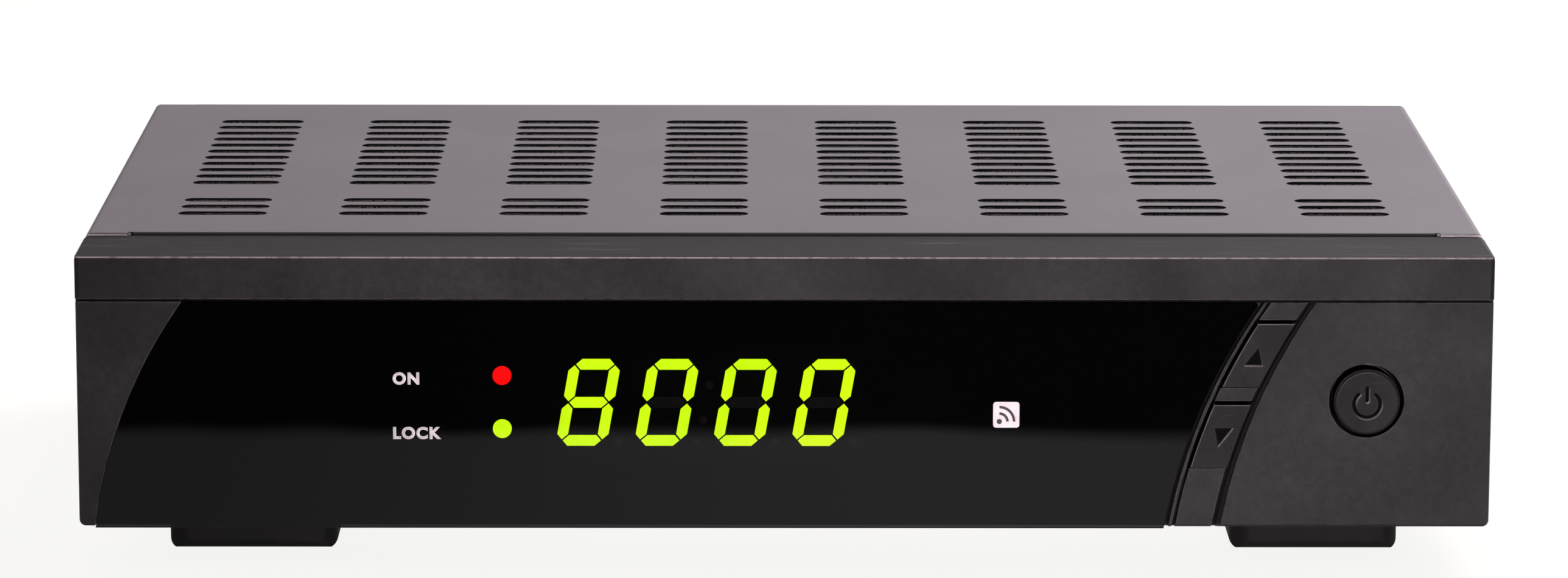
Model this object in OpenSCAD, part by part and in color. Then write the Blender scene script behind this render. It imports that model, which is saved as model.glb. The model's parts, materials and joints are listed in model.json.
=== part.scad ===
// Small free-to-air satellite television receiver: moulded front, folded steel case, boards and sockets.
// +Z up, front face towards -Y, origin on the surface under the middle of the overall box.

/* [Case] */
// Width of the moulded front
bezel_w = 225; // [200:1:260]
// Height of the moulded front
bezel_h = 43.8; // [43:0.1:60]
// Depth of the moulded front, from its panel face to its back edge
bezel_d = 15.4; // [14.5:0.1:20]
// Depth of the case, from the panel face to the outside of the cover's rear flange
body_d = 140; // [138:1:180]
// Wall of the moulded front's top, bottom and sides
bezel_t = 2; // [1.5:0.1:3]
// Wall of the moulded front's face
front_t = 2.6; // [2.4:0.1:3.2]
// How far the moulded front stands wider than the cover, on each side
bezel_lip = 0.1; // [0:0.1:1.5]
// Rise of the moulded front's top from its front edge to its back edge
strip_rise = 0.4; // [0:0.1:0.6]
// Radius of the moulded front's corners, seen from the front
corner_r = 1.2; // [0.6:0.1:2.5]
// Radius of the moulded front's vertical front edges
edge_r = 0.8; // [0.4:0.1:1.2]

/* [Front face] */
// Height of the band along the top
band_h = 6.8; // [5:0.1:7.5]
// How far the band stands proud of the panels
band_proud = 0.3; // [0.1:0.1:0.6]
// How far the band stands wider than the panels, on each side
band_overhang = 0.1; // [0:0.1:0.4]
// Height of the groove under the band
groove_h = 0.5; // [0.3:0.1:0.8]
// Depth of the groove under the band
groove_d = 0.5; // [0.3:0.1:1]
// Radius of the window's left end
left_curve_r = 80.8; // [75:0.1:90]
// Centre of the window's left end, from the moulded front's left end
left_curve_x = 82.6; // [81.5:0.1:83.5]
// Centre of the window's left end, below the top edge
left_curve_drop = 54.2; // [50:0.1:58]
// Radius of the curves beside the keys
key_curve_r = 94.2; // [90:0.1:98]
// Centre of the window's right end, beyond the moulded front's right end
key_curve_x = 41; // [39.5:0.1:41.5]
// Centre of the curves beside the keys, below the top edge
key_curve_drop = 60.2; // [58:0.1:62]
// Width of the ribbed gap between the window and the key band
rib_gap_w = 1.6; // [1.4:0.1:2]
// Width of the rib in that gap
rib_w = 0.5; // [0.3:0.1:0.6]
// Width of the key band
key_band_w = 5.8; // [5:0.1:6.5]
// Width of the groove between the key band and the right panel
panel_gap_w = 1.4; // [1:0.1:2]
// Depth of the grooves beside the key band
curve_groove_d = 0.9; // [0.5:0.1:1.2]

/* [Window] */
// Thickness of the window
window_t = 1.5; // [1:0.1:1.6]
// How far the window lies behind the panels
window_set = 0.15; // [0.05:0.05:0.3]
// Gap round the window in its recess
window_gap = 0.1; // [0.05:0.05:0.3]
// How far the window reaches below the moulded front
window_drop = 0.3; // [0:0.1:0.6]
// Radius of the window's sharp upper corner
window_corner_r = 0.5; // [0.3:0.1:1]

/* [Keys] */
// Distance of the power button from the moulded front's right end
power_x = 19.9; // [16.5:0.1:22.5]
// Distance of the power button below the top edge
power_drop = 23.2; // [18:0.1:26]
// Radius of the power button
power_r = 5.25; // [4.5:0.05:5.5]
// Gap round the power button
power_gap = 0.75; // [0.4:0.05:1]
// How far the keys stand out of the panels
key_proud = 1.3; // [0.8:0.1:2]
// Travel of the keys
key_travel = 0.5; // [0.3:0.05:0.6]
// Gap at the sides of the channel keys
key_side_gap = 0.3; // [0.3:0.05:0.6]
// Gap above and below the channel keys
key_end_gap = 0.4; // [0.3:0.05:0.6]
// Height of the channel keys' holes
key_hole_h = 11; // [9:0.1:11.4]
// Distance of the upper key's middle below the top edge
up_key_drop = 15.6; // [15:0.1:16]
// Distance between the two channel keys' middles
key_pitch = 13.15; // [13.1:0.05:14]
// How far the keys' flanges reach past their holes
flange_reach = 0.7; // [0.5:0.05:0.75]
// Thickness of the keys' flanges
flange_t = 1; // [0.8:0.1:1.2]
// Running gap of the keys in their guides
key_clear = 0.3; // [0.3:0.05:0.4]
// Wall of the keys and of their guides
key_wall = 0.8; // [0.7:0.1:1.1]
// Radius of the keys' stems
stem_r = 1.6; // [1.2:0.1:2]
// Depth of the signs sunk in the keys
sign_d = 0.35; // [0.2:0.05:0.5]
// Width of the arrows
arrow_w = 3; // [2:0.1:3.5]
// Height of the arrows
arrow_h = 3.05; // [2:0.05:3.5]
// Outside radius of the power sign
sign_r = 2.45; // [1.8:0.05:3]
// Stroke of the power sign
sign_stroke = 0.72; // [0.5:0.02:0.9]
// Half the opening of the power sign's ring, in degrees
sign_open = 40; // [30:1:50]
// Length of the power sign's bar
sign_bar_l = 2.8; // [2:0.1:3.2]
// Distance of the power sign's ring below the button's middle
sign_low = 0.35; // [0:0.05:0.5]

/* [Display] */
// Distance of the display's middle from the moulded front's left end
display_x = 100; // [98.5:0.1:104.5]
// Distance of the display's middle below the top edge
display_drop = 23.9; // [22:0.1:25]
// Width of the display module
display_w = 50.2; // [49.5:0.1:54]
// Height of the display module
display_h = 19; // [17:0.1:20]
// Depth of the display module
display_d = 8; // [7:0.1:9]
// Gap between the display's face and the window
display_gap = 0.35; // [0.1:0.05:0.6]
// Height of a digit
digit_h = 14.1; // [12:0.1:15]
// Width of a digit
digit_w = 8.15; // [7:0.05:8.6]
// Distance between digits
digit_pitch = 12.5; // [12:0.1:12.7]
// Width of a segment
segment_w = 1.7; // [1.4:0.05:1.9]
// Gap at the point of a segment
segment_gap = 0.2; // [0.1:0.02:0.3]
// Lean of the digits
digit_lean = 10; // [0:1:12]
// Number on the display
shown_number = [8, 0, 0, 0];
// Radius of the two lamps
led_r = 1.5; // [1.4:0.1:2]
// Distance of the lamps from the moulded front's left end
led_x = 67.5; // [66.5:0.1:68.5]
// Distance of the upper lamp below the top edge
led_drop = 19.5; // [18:0.1:21]
// Distance between the lamps
led_pitch = 8.65; // [8:0.05:10]
// Distance of the remote sensor from the display's middle
sensor_x = 34.8; // [32.5:0.1:42]
// Distance of the remote sensor below the top edge
sensor_drop = 22; // [19:0.1:25]

/* [Cover and chassis] */
// Thickness of the cover's sheet
cover_t = 0.6; // [0.5:0.1:0.8]
// How far the cover's top lies above the moulded front's top front edge
cover_rise = 0.84; // [0.8:0.02:1.4]
// Thickness of the chassis's sheet
pan_t = 0.8; // [0.6:0.1:1]
// Outside radius of the folds
fold_r = 1.1; // [1.1:0.1:1.5]
// Gap between nested sheets and between sheet and moulding
sheet_gap = 0.1; // [0.05:0.05:0.2]
// Height of the chassis's underside above the moulded front's lower edge
pan_lift = 0.8; // [0.5:0.1:1.5]
// Height of the chassis's side flanges
pan_side_h = 12; // [10:0.5:16]
// Height of the chassis's front lip
pan_lip_h = 7; // [6:0.5:8]
// Depth of the cover's front flange
cover_lip_h = 6; // [4:0.5:7]
// Depth of the cover's rear flange
cover_tail_h = 9; // [8:0.5:10]
// Distance of the relief notches from the cover's sides
notch_in = 7.3; // [5:0.1:10]
// Width of the relief notches
notch_w = 0.9; // [0.8:0.1:2]
// Number of slot groups side by side
slot_groups = 8; // [4:1:8]
// Distance between slot groups
slot_group_pitch = 26.2; // [20:0.1:26.6]
// Length of a slot
slot_l = 14.5; // [10:0.1:18]
// Width of a slot
slot_w = 3.2; // [2:0.1:4]
// Distance between rows of slots
slot_pitch = 6; // [5:0.1:6.2]
// Rows of slots at the back
rear_rows = 11; // [6:1:11]
// Rows of slots at the front
front_rows = 3; // [1:1:3]
// Distance of the first row from the panel face
first_row_y = 32.8; // [30:0.1:34]
// Distance between the two blocks of rows
row_gap = 16; // [8:0.1:17]

/* [Feet] */
// Height of the moulded front above the surface
foot_h = 7.8; // [5:0.1:12]
// Width of a foot
foot_w = 27.3; // [18:0.1:30]
// Depth of a foot
foot_d = 16; // [12:0.1:24]
// Distance of the feet's middles from the moulded front's ends
foot_x = 26.3; // [20.5:0.1:42.5]
// Distance of the front feet's front from the panel face
foot_setback = 17; // [16.6:0.1:24]
// Distance of the rear feet's back from the case's back
foot_rear_inset = 10; // [6:0.5:20]
// Radius of a foot's corners, from above
foot_corner_r = 3.4; // [2:0.1:5]
// Radius of a foot's lower edge
foot_edge_r = 1.5; // [0.8:0.1:2]

/* [Boards] */
// Thickness of the boards
pcb_t = 1.6; // [1.2:0.1:2]
// Height of the pressed stand-offs
standoff_h = 5; // [4:0.1:6]
// Depth of the main board
main_d = 72; // [71:1:80]
// Gap between the power supply board and the main board
main_x0 = 3.7; // [3:0.1:5]
// Distance of the main board from the moulded front's right end
main_x1 = 6.5; // [5:0.1:8]
// Width of the power supply board
supply_w = 31; // [30:0.5:32]
// Depth of the power supply board
supply_d = 106; // [104:1:112]
// Distance of the front board from the moulded front's left end
front_pcb_x0 = 56; // [52.5:0.5:59.5]
// Distance of the front board from the moulded front's right end
front_pcb_x1 = 8; // [6.5:0.5:9.5]
// Height of the front board
front_pcb_h = 32; // [31:0.5:34]
// Lower edge of the front board
front_pcb_z0 = 5.2; // [5:0.1:6]

/* [Rear sockets] */
// Distance of the aerial input from the main board's right edge
lnb_in_x = 9.1; // [8.9:0.1:12]
// Distance between the two aerial sockets
lnb_pitch = 20; // [18:0.5:22]
// Radius of the aerial sockets' barrels
lnb_r = 4.75; // [4.5:0.05:4.8]
// How far the aerial sockets stand out of the case
lnb_out = 11; // [9.5:0.5:13]
// Gap between the audio and video socket and the serial port
serial_x = 1.5; // [0.5:0.1:10]
// Distance between the serial port's screws
serial_screw_pitch = 25; // [24.5:0.1:25.5]
// Gap between the phono sockets' block and the audio and video socket
scart_x = 1.5; // [0.5:0.1:6]
// Gap between the main board's left edge and the phono sockets' block
rca_x = 1.5; // [0.5:0.1:6]
// Distance between phono sockets
rca_pitch = 12.5; // [12:0.1:14]
// Radius of the phono sockets' shells
rca_r = 4.15; // [4:0.05:4.3]
// How far the phono sockets stand out of the case
rca_out = 9; // [8:0.1:9.4]
// Distance of the mains inlet from the power supply board's left edge
inlet_x = 16.7; // [15.7:0.5:17.7]

/* [Hidden] */
$fn = 48;
eps = 0.01;
// Places across and along the case
total_d = key_proud + body_d + lnb_out;
front_y = key_proud - total_d / 2;
rear_y = body_d;
half_w = bezel_w / 2;
band_z0 = bezel_h - band_h;
panel_top = band_z0 - groove_h;
edge_bevel = 0.4;
cover_w = bezel_w - 2 * bezel_lip;
cover_y0 = bezel_d + sheet_gap;
cover_z1 = bezel_h + cover_rise;
cover_z0 = pan_lift + pan_t / 2;
pan_w = cover_w - 2 * (cover_t + sheet_gap);
pan_y0 = cover_y0 + cover_t + sheet_gap;
pan_y1 = rear_y - cover_t - sheet_gap;
pan_z1 = cover_z1 - fold_r - sheet_gap;
floor_z = pan_lift + pan_t;
// Front face
window_back = window_set + window_t;
left_curve_mid = left_curve_x - half_w;
key_curve_mid = half_w + key_curve_x;
key_band_x0 = rib_gap_w;
key_band_x1 = key_band_x0 + key_band_w;
right_panel_x = key_band_x1 + panel_gap_w;
power_mid = half_w - power_x;
power_z = bezel_h - power_drop;
power_hole_r = power_r + power_gap;
up_key_z = bezel_h - up_key_drop;
down_key_z = up_key_z - key_pitch;
flange_y0 = front_t + key_clear;
flange_y1 = flange_y0 + flange_t;
guide_y1 = flange_y1 + key_travel + key_clear;
sign_bar_out = 0.55;
arrow_low = 0.18;
arrow_base_in = 0.65;
arrow_tip_out = 0.2;
// Front board and what stands on it
display_y0 = window_back + display_gap;
front_pcb_y0 = display_y0 + display_d;
front_pcb_y1 = front_pcb_y0 + pcb_t;
front_pcb_z1 = front_pcb_z0 + front_pcb_h;
front_pcb_left = front_pcb_x0 - half_w;
front_pcb_right = half_w - front_pcb_x1;
display_mid = display_x - half_w;
display_z = bezel_h - display_drop;
display_fit = 0.25;
segment_d = 0.5;
pocket_gap = 0.05;
point_r = 0.65;
colon_z = 2.8;
led_mid = led_x - half_w;
led_z = bezel_h - led_drop;
led_flange_r = led_r + 0.4;
led_flange_t = 1;
led_gap = 0.1;
led_l = 5.4;
led_y0 = window_back + led_gap;
led_y1 = led_y0 + led_l;
led_hole_r = led_r + 0.2;
sensor_mid = display_mid + sensor_x;
sensor_z = bezel_h - sensor_drop;
sensor_w = 6;
sensor_h = 7;
sensor_t = 3;
sensor_lens_r = 2.4;
sensor_gap = 0.6;
sensor_fit = 0.5;
sensor_y0 = window_back + sensor_gap + sensor_lens_r;
switch_w = 6;
switch_t = 3.5;
switch_y0 = front_pcb_y0 - switch_t;
plunger_r = 1.75;
plunger_fit = 0.08;
plunger_out = 1.5;
plunger_in = 0.7;
plunger_y0 = switch_y0 - plunger_out;
boss_r = 2.6;
boss_pilot_r = 1;
boss_inset = 4.5;
boss_mid_x = 64.5;
boss_places = [
    [front_pcb_left + boss_inset, front_pcb_z0 + boss_inset],
    [front_pcb_left + boss_inset, front_pcb_z1 - boss_inset],
    [front_pcb_right - boss_inset, front_pcb_z0 + boss_inset],
    [front_pcb_right - boss_inset, front_pcb_z1 - boss_inset],
    [half_w - boss_mid_x, front_pcb_z0 + boss_inset]
];
front_screw_l = 7;
// Snap hooks of the moulded front
hook_w = 9;
hook_t = 1.5;
hook_barb = 0.9;
hook_clear = 0.3;
hook_lift = 1.6;
hook_in = 17.5;
hook_mid = 32;
hook_xs = [hook_in - half_w, -hook_mid, hook_mid, half_w - hook_in];
hook_end = pan_y0 + pan_t + 3;
// Boards and stand-offs
board_z0 = floor_z + standoff_h;
board_z1 = board_z0 + pcb_t;
board_y1 = pan_y1 - pan_t - 0.5;
main_y0 = board_y1 - main_d;
supply_x0 = -pan_w / 2 + pan_t + 1.2;
supply_x1 = supply_x0 + supply_w;
supply_y0 = board_y1 - supply_d;
main_left = supply_x1 + main_x0;
main_right = half_w - main_x1;
board_hole_r = 1.8;
board_inset = 5;
supply_screw_in = 47;
supply_screw_front = 15;
screw_room = 0.4;
standoff_r0 = 5;
standoff_r1 = 3.2;
standoff_dish = 0.7;
tap_r = 1.25;
// Screws
screw_head_r = 2.8;
screw_head_h = 1.8;
screw_taper = 0.78;
screw_r = 1.2;
screw_l = 5;
recess_w = 0.8;
recess_l = 3;
recess_d = 1;
// Feet
foot_mid = half_w - foot_x;
foot_y_front = foot_setback + foot_d / 2;
foot_y_rear = rear_y - foot_rear_inset - foot_d / 2;
foot_bore_r = 4;
foot_web = 2.5;
foot_hole_r = 1.7;
foot_places = [
    [-foot_mid, foot_y_front],
    [foot_mid, foot_y_front],
    [-foot_mid, foot_y_rear],
    [foot_mid, foot_y_rear]
];
// Cover
side_screw_z = pan_lift + pan_side_h - 4;
side_screw_ys = [pan_y0 + 22, pan_y1 - 22];
tail_screw_z = cover_z1 - cover_tail_h / 2 - 0.5;
tail_screw_in = 8.4;
tail_screw_mid = 24;
tail_screw_xs = [tail_screw_in - cover_w / 2, tail_screw_mid, cover_w / 2 - tail_screw_in];
side_slots = 9;
side_slot_pitch = 7;
side_slot_l = 14;
side_slot_z = 25;
side_slot_y = 78;
// Underside slots
belly_cols = 5;
belly_rows = 4;
belly_x_pitch = 24;
belly_y_pitch = 8;
belly_in = 16;
belly_x = (main_left + main_right) / 2;
belly_y = main_y0 + belly_in;
// Aerial sockets and tuner
lnb_up = 8.5;
lnb_mid = main_right - lnb_in_x;
lnb_z = board_z1 + lnb_up;
lnb_hole_r = lnb_r + 0.4;
lnb_bore_r = 3.7;
lnb_bore_d = 1;
lnb_pin_r = 0.6;
lnb_pin_d = 6;
nut_r = 7.2;
nut_t = 2.4;
nut_fit = 0.08;
washer_r = nut_r + 0.6;
washer_t = 0.6;
nut_y1 = pan_y1 + washer_t + nut_t;
lnb_neck = 0.4;
tuner_margin = 8.5;
tuner_x0 = lnb_mid - lnb_pitch - tuner_margin;
tuner_x1 = lnb_mid + tuner_margin;
tuner_gap = 0.3;
tuner_y1 = pan_y1 - pan_t - tuner_gap;
tuner_d = 42;
tuner_y0 = tuner_y1 - tuner_d;
tuner_h = 16.5;
tuner_lid_h = 3;
tuner_lid_t = 0.4;
// Serial port
serial_up = 6.6;
serial_z = board_z1 + serial_up;
serial_plate_w = 30.8;
serial_plate_h = 12.4;
serial_plate_t = 0.8;
serial_d_w = 16.6;
serial_d_h = 8;
serial_d_lean = 0.8;
serial_shell_t = 0.4;
serial_out = 5.2;
serial_body_d = 10;
serial_pin_r = 0.55;
serial_pin_pitch = 2.77;
serial_pin_row = 2.84;
jack_hex_r = 2.75;
jack_out = 5;
jack_r = 1.45;
// Audio and video socket
scart_w = 48.4;
scart_h = 19;
scart_d = 17;
scart_z = board_z1 + scart_h / 2;
scart_rim_w = 47;
scart_rim_h = 15.6;
scart_rim_out = 1.8;
scart_key = 4;
scart_corner = 1.8;
scart_wall = 1;
scart_skirt = 2;
scart_depth = 11;
scart_pins = 10;
scart_pitch = 3.81;
scart_slot_w = 1.3;
scart_slot_h = 3.4;
scart_row = 2.2;
contact_t = 0.5;
contact_h = 2.6;
contact_l = 9;
// Phono sockets
rca_h = 12.5;
rca_block_d = 13;
rca_z = board_z1 + rca_h / 2;
rca_base_r = 5.3;
rca_base_out = 1.5;
rca_shell_t = 0.6;
rca_core_r = 3.35;
rca_core_back = 1;
rca_bore_r = 1.65;
rca_block_w = 3 * rca_pitch;
// Row of sockets, from the main board's left edge
rca_mid = main_left + rca_x + rca_block_w / 2;
scart_mid = rca_mid + rca_block_w / 2 + scart_x + scart_w / 2;
serial_mid = scart_mid + scart_w / 2 + serial_x + serial_plate_w / 2;
// Mains inlet
inlet_mid = supply_x0 + inlet_x;
inlet_w = 20;
inlet_h = 13.5;
inlet_d = 18;
inlet_z = board_z1 + inlet_h / 2;
inlet_rim_w = 18;
inlet_rim_h = 11.5;
inlet_rim_out = 1.2;
inlet_lobe_r = 4.1;
inlet_pin_pitch = 8.6;
inlet_waist = 6.8;
inlet_depth = 13;
inlet_pin_r = 1.15;
inlet_pin_l = 10;
cut_clear = 0.25;
// Screws of the boards, clear of the sockets
socket_screw_y = pan_y1 - pan_t - scart_d - screw_head_r - screw_room;
main_screws = [
    [main_left + board_inset, main_y0 + board_inset],
    [(main_left + main_right) / 2, main_y0 + board_inset],
    [main_right - board_inset, main_y0 + board_inset],
    [scart_mid - scart_w / 2, socket_screw_y],
    [scart_mid + scart_w / 2, socket_screw_y]
];
supply_screws = [
    [supply_x0 + board_inset, supply_y0 + supply_screw_front],
    [supply_x1 - board_inset, supply_y0 + supply_screw_front],
    [supply_x0 + board_inset, board_y1 - supply_screw_in],
    [supply_x1 - board_inset, board_y1 - supply_screw_in]
];

// ---- Frame and shared shapes ----

// Case coordinates: y 0 is the panel face, z 0 is the moulded front's lower edge
module in_frame() {
    translate([0, front_y, foot_h]) children();
}

// A flat shape in x and z, made solid from y0 to y1
module slab_y(y0, y1) {
    translate([0, y1, 0]) rotate([90, 0, 0]) linear_extrude(y1 - y0) children();
}

// A flat shape in y and z, made solid from x0 to x1
module slab_x(x0, x1) {
    translate([x0, 0, 0]) rotate([90, 0, 90]) linear_extrude(x1 - x0) children();
}

// A flat shape in x and y, made solid from z0 to z1
module slab_z(z0, z1) {
    translate([0, 0, z0]) linear_extrude(z1 - z0) children();
}

module block(x, y, z) {
    translate([x[0], y[0], z[0]]) cube([x[1] - x[0], y[1] - y[0], z[1] - z[0]]);
}

module rod_x(y, z, r, x0, x1) {
    translate([x0, y, z]) rotate([0, 90, 0]) cylinder(r = r, h = x1 - x0);
}

module rod_y(x, z, r, y0, y1) {
    translate([x, y1, z]) rotate([90, 0, 0]) cylinder(r = r, h = y1 - y0);
}

module rod_z(x, y, r, z0, z1) {
    translate([x, y, z0]) cylinder(r = r, h = z1 - z0);
}

module round_rect(w, h, r) {
    square([w - 2 * r, h], center = true);
    square([w, h - 2 * r], center = true);
    for (sx = [-1, 1], sy = [-1, 1]) translate([sx * (w / 2 - r), sy * (h / 2 - r)]) circle(r);
}

// Stands on y 0 with its two lower corners rounded
module round_foot_rect(w, h, r) {
    translate([-w / 2, r]) square([w, h - r]);
    translate([r - w / 2, 0]) square([w - 2 * r, h]);
    for (s = [-1, 1]) translate([s * (w / 2 - r), r]) circle(r);
}

// A slot with round ends along the first axis
module slot(l, w) {
    square([l - w, w], center = true);
    for (s = [-1, 1]) translate([s * (l - w) / 2, 0]) circle(w / 2);
}

// A pan-head screw whose head stands on z 0 and whose shank points down
module screw(head_r, head_h, shank_r, shank_l) {
    difference() {
        union() {
            cylinder(r1 = head_r, r2 = head_r * screw_taper, h = head_h);
            translate([0, 0, -shank_l]) cylinder(r = shank_r, h = shank_l + eps);
        }
        for (a = [0, 90]) rotate([0, 0, a]) translate([0, 0, head_h])
            cube([recess_l, recess_w, 2 * recess_d], center = true);
    }
}

// ---- Moulded front ----

// Everything to the right of a curve that starts shift to the right of the window's right end
module right_of(shift) {
    translate([key_curve_mid + shift, bezel_h - key_curve_drop]) circle(key_curve_r, $fn = 96);
}

// Strip between two of those curves, from z0 to z1
module curved_strip(shift0, shift1, z0, z1) {
    intersection() {
        translate([0, z0]) square([bezel_w / 2, z1 - z0]);
        difference() {
            right_of(shift0);
            right_of(shift1);
        }
    }
}

// The window's outline, grown by g and reaching from z0 to z1, with its upper right corner rounded
module window_outline(g, z0, z1) {
    left_z = bezel_h - left_curve_drop;
    right = [key_curve_mid, bezel_h - key_curve_drop];
    corner_z = z1 - window_corner_r;
    reach = key_curve_r - g + window_corner_r;
    corner = [right[0] - sqrt(pow(reach, 2) - pow(corner_z - right[1], 2)), corner_z];
    touch = corner + (right - corner) * window_corner_r / reach;
    difference() {
        union() {
            intersection() {
                translate([-bezel_w / 2, z0]) square([bezel_w, z1 - z0]);
                translate([left_curve_mid, left_z]) circle(left_curve_r + g, $fn = 96);
            }
            translate([left_curve_mid, z0]) square([right[0] - left_curve_mid, z1 - z0]);
        }
        translate(right) circle(key_curve_r - g, $fn = 96);
        polygon([corner, touch, [touch[0] + 2 * window_corner_r, touch[1]],
            [touch[0] + 2 * window_corner_r, z1 + eps], [corner[0], z1 + eps]]);
    }
    translate(corner) circle(window_corner_r);
}

// Hole, key and flange share one outline, which reach grows sideways and rise grows up and down
module key_outline(z, reach, rise) {
    curved_strip(
        key_band_x0 - key_side_gap - reach, key_band_x1 + key_side_gap + reach,
        z - key_hole_h / 2 - rise, z + key_hole_h / 2 + rise
    );
}

module bezel_side_profile() {
    difference() {
        union() {
            polygon([
                [bezel_d, 0], [edge_bevel, 0], [0, edge_bevel], [0, band_z0], [-band_proud, band_z0],
                [-band_proud, bezel_h - edge_bevel], [edge_bevel - band_proud, bezel_h],
                [bezel_d, bezel_h + strip_rise]
            ]);
            translate([edge_bevel - band_proud, bezel_h - edge_bevel]) circle(edge_bevel);
            translate([edge_bevel, edge_bevel]) circle(edge_bevel);
        }
        translate([-band_proud - eps, panel_top]) square([groove_d + band_proud, groove_h]);
    }
}

module bezel_front_outline() {
    round_foot_rect(bezel_w, bezel_h, corner_r);
    translate([0, bezel_h + strip_rise]) mirror([0, 1])
        round_foot_rect(bezel_w + 2 * band_overhang, band_h + strip_rise, corner_r);
}

module bezel_blank() {
    intersection() {
        slab_x(-bezel_w, bezel_w) bezel_side_profile();
        slab_y(-band_proud, bezel_d) bezel_front_outline();
        translate([0, -band_proud, 0]) slab_z(0, bezel_h + strip_rise)
            round_foot_rect(bezel_w + 2 * band_overhang, bezel_d + band_proud, edge_r);
    }
}

module bezel_cavity() {
    slab_y(front_t, bezel_d + eps) translate([0, bezel_t])
        round_foot_rect(bezel_w - 2 * bezel_t, bezel_h - 2 * bezel_t, corner_r);
}

// Guides that keep the keys square to the panel
module key_guides() {
    grow = flange_reach + key_clear;
    difference() {
        for (z = [up_key_z, down_key_z])
            slab_y(front_t - eps, guide_y1) key_outline(z, grow + key_wall, grow + key_wall);
        for (z = [up_key_z, down_key_z])
            slab_y(front_t, guide_y1 + eps) key_outline(z, grow, grow);
    }
    difference() {
        rod_y(power_mid, power_z, power_hole_r + grow + key_wall, front_t - eps, guide_y1);
        rod_y(power_mid, power_z, power_hole_r + grow, front_t, guide_y1 + eps);
    }
}

module snap_hooks() {
    z0 = floor_z + hook_lift;
    for (x = hook_xs) {
        block([x - hook_w / 2, x + hook_w / 2], [front_t - eps, hook_end], [z0, z0 + hook_t]);
        block([x - hook_t / 2, x + hook_t / 2], [front_t - eps, bezel_d - 1], [bezel_t - eps, z0 + eps]);
        slab_x(x - hook_w / 2, x + hook_w / 2) polygon([
            [pan_y0 + pan_t + hook_clear, z0 + hook_t - eps],
            [pan_y0 + pan_t + hook_clear, z0 + hook_t + hook_barb],
            [hook_end, z0 + hook_t - eps]
        ]);
    }
}

module bezel_grooves() {
    slab_y(-eps, curve_groove_d) {
        curved_strip(0, (rib_gap_w - rib_w) / 2, -eps, panel_top);
        curved_strip((rib_gap_w + rib_w) / 2, rib_gap_w, -eps, panel_top);
        curved_strip(key_band_x1, key_band_x1 + panel_gap_w / 2, -eps, panel_top);
    }
    slab_y(-eps, curve_groove_d / 2) curved_strip(
        key_band_x1 + panel_gap_w / 2 - eps, right_panel_x, -eps, panel_top
    );
}

module front_bezel() {
    color("#2c2a2d") in_frame() difference() {
        union() {
            difference() {
                bezel_blank();
                bezel_cavity();
            }
            key_guides();
            snap_hooks();
            for (p = boss_places) rod_y(p[0], p[1], boss_r, front_t - eps, front_pcb_y0);
        }
        slab_y(-band_proud - eps, window_back) window_outline(0, -eps, panel_top + eps);
        bezel_grooves();
        slab_y(-eps, front_t + eps) {
            key_outline(up_key_z, 0, 0);
            key_outline(down_key_z, 0, 0);
        }
        rod_y(power_mid, power_z, power_hole_r, -eps, front_t + eps);
        slab_y(0, front_t + eps) translate([display_mid, display_z])
            square([display_w + 2 * display_fit, display_h + 2 * display_fit], center = true);
        for (z = [led_z, led_z - led_pitch]) rod_y(led_mid, z, led_hole_r, 0, front_t + eps);
        slab_y(0, front_t + eps) translate([sensor_mid, sensor_z])
            round_rect(sensor_w + 2 * sensor_fit, sensor_h + 2 * sensor_fit, 1);
        for (p = boss_places)
            rod_y(p[0], p[1], boss_pilot_r, front_pcb_y0 - front_screw_l, front_pcb_y0 + eps);
    }
}

module display_window() {
    color("#0a0a0b") in_frame() slab_y(window_set, window_back)
        window_outline(-window_gap, -window_drop, panel_top - window_gap);
}

// ---- Keys and their switches ----

// The power sign: a ring open at the top with a bar in the opening, both with round ends
module power_sign() {
    mid_r = sign_r - sign_stroke / 2;
    far = 2 * sign_r;
    difference() {
        circle(sign_r);
        circle(sign_r - sign_stroke);
        polygon([[0, 0], [-far * tan(sign_open), far], [far * tan(sign_open), far]]);
    }
    for (s = [-1, 1]) translate([s * mid_r * sin(sign_open), mid_r * cos(sign_open)])
        circle(sign_stroke / 2);
    translate([0, sign_r + sign_bar_out - sign_bar_l / 2]) rotate(90) slot(sign_bar_l, sign_stroke);
}

module power_button() {
    shell_y = key_wall - key_proud;
    color("#29272a") in_frame() difference() {
        union() {
            translate([power_mid, -key_proud, power_z]) rotate([-90, 0, 0]) rotate_extrude() polygon([
                [0, 0], [power_r - edge_bevel, 0], [power_r, edge_bevel],
                [power_r, flange_y1 + key_proud], [0, flange_y1 + key_proud]
            ]);
            rod_y(power_mid, power_z, power_hole_r + flange_reach, flange_y0, flange_y1);
        }
        difference() {
            rod_y(power_mid, power_z, power_r - key_wall, shell_y, flange_y1 + eps);
            rod_y(power_mid, power_z, stem_r, shell_y - eps, flange_y1 + 2 * eps);
        }
        slab_y(-key_proud - eps, sign_d - key_proud) translate([power_mid, power_z - sign_low]) power_sign();
    }
    color("#29272a") in_frame() rod_y(power_mid, power_z, stem_r, flange_y1 - eps, plunger_y0);
}

// Middle of the key band at a height
function band_mid(z) = key_curve_mid + (key_band_x0 + key_band_x1) / 2
    - sqrt(pow(key_curve_r, 2) - pow(z - bezel_h + key_curve_drop, 2));

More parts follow.
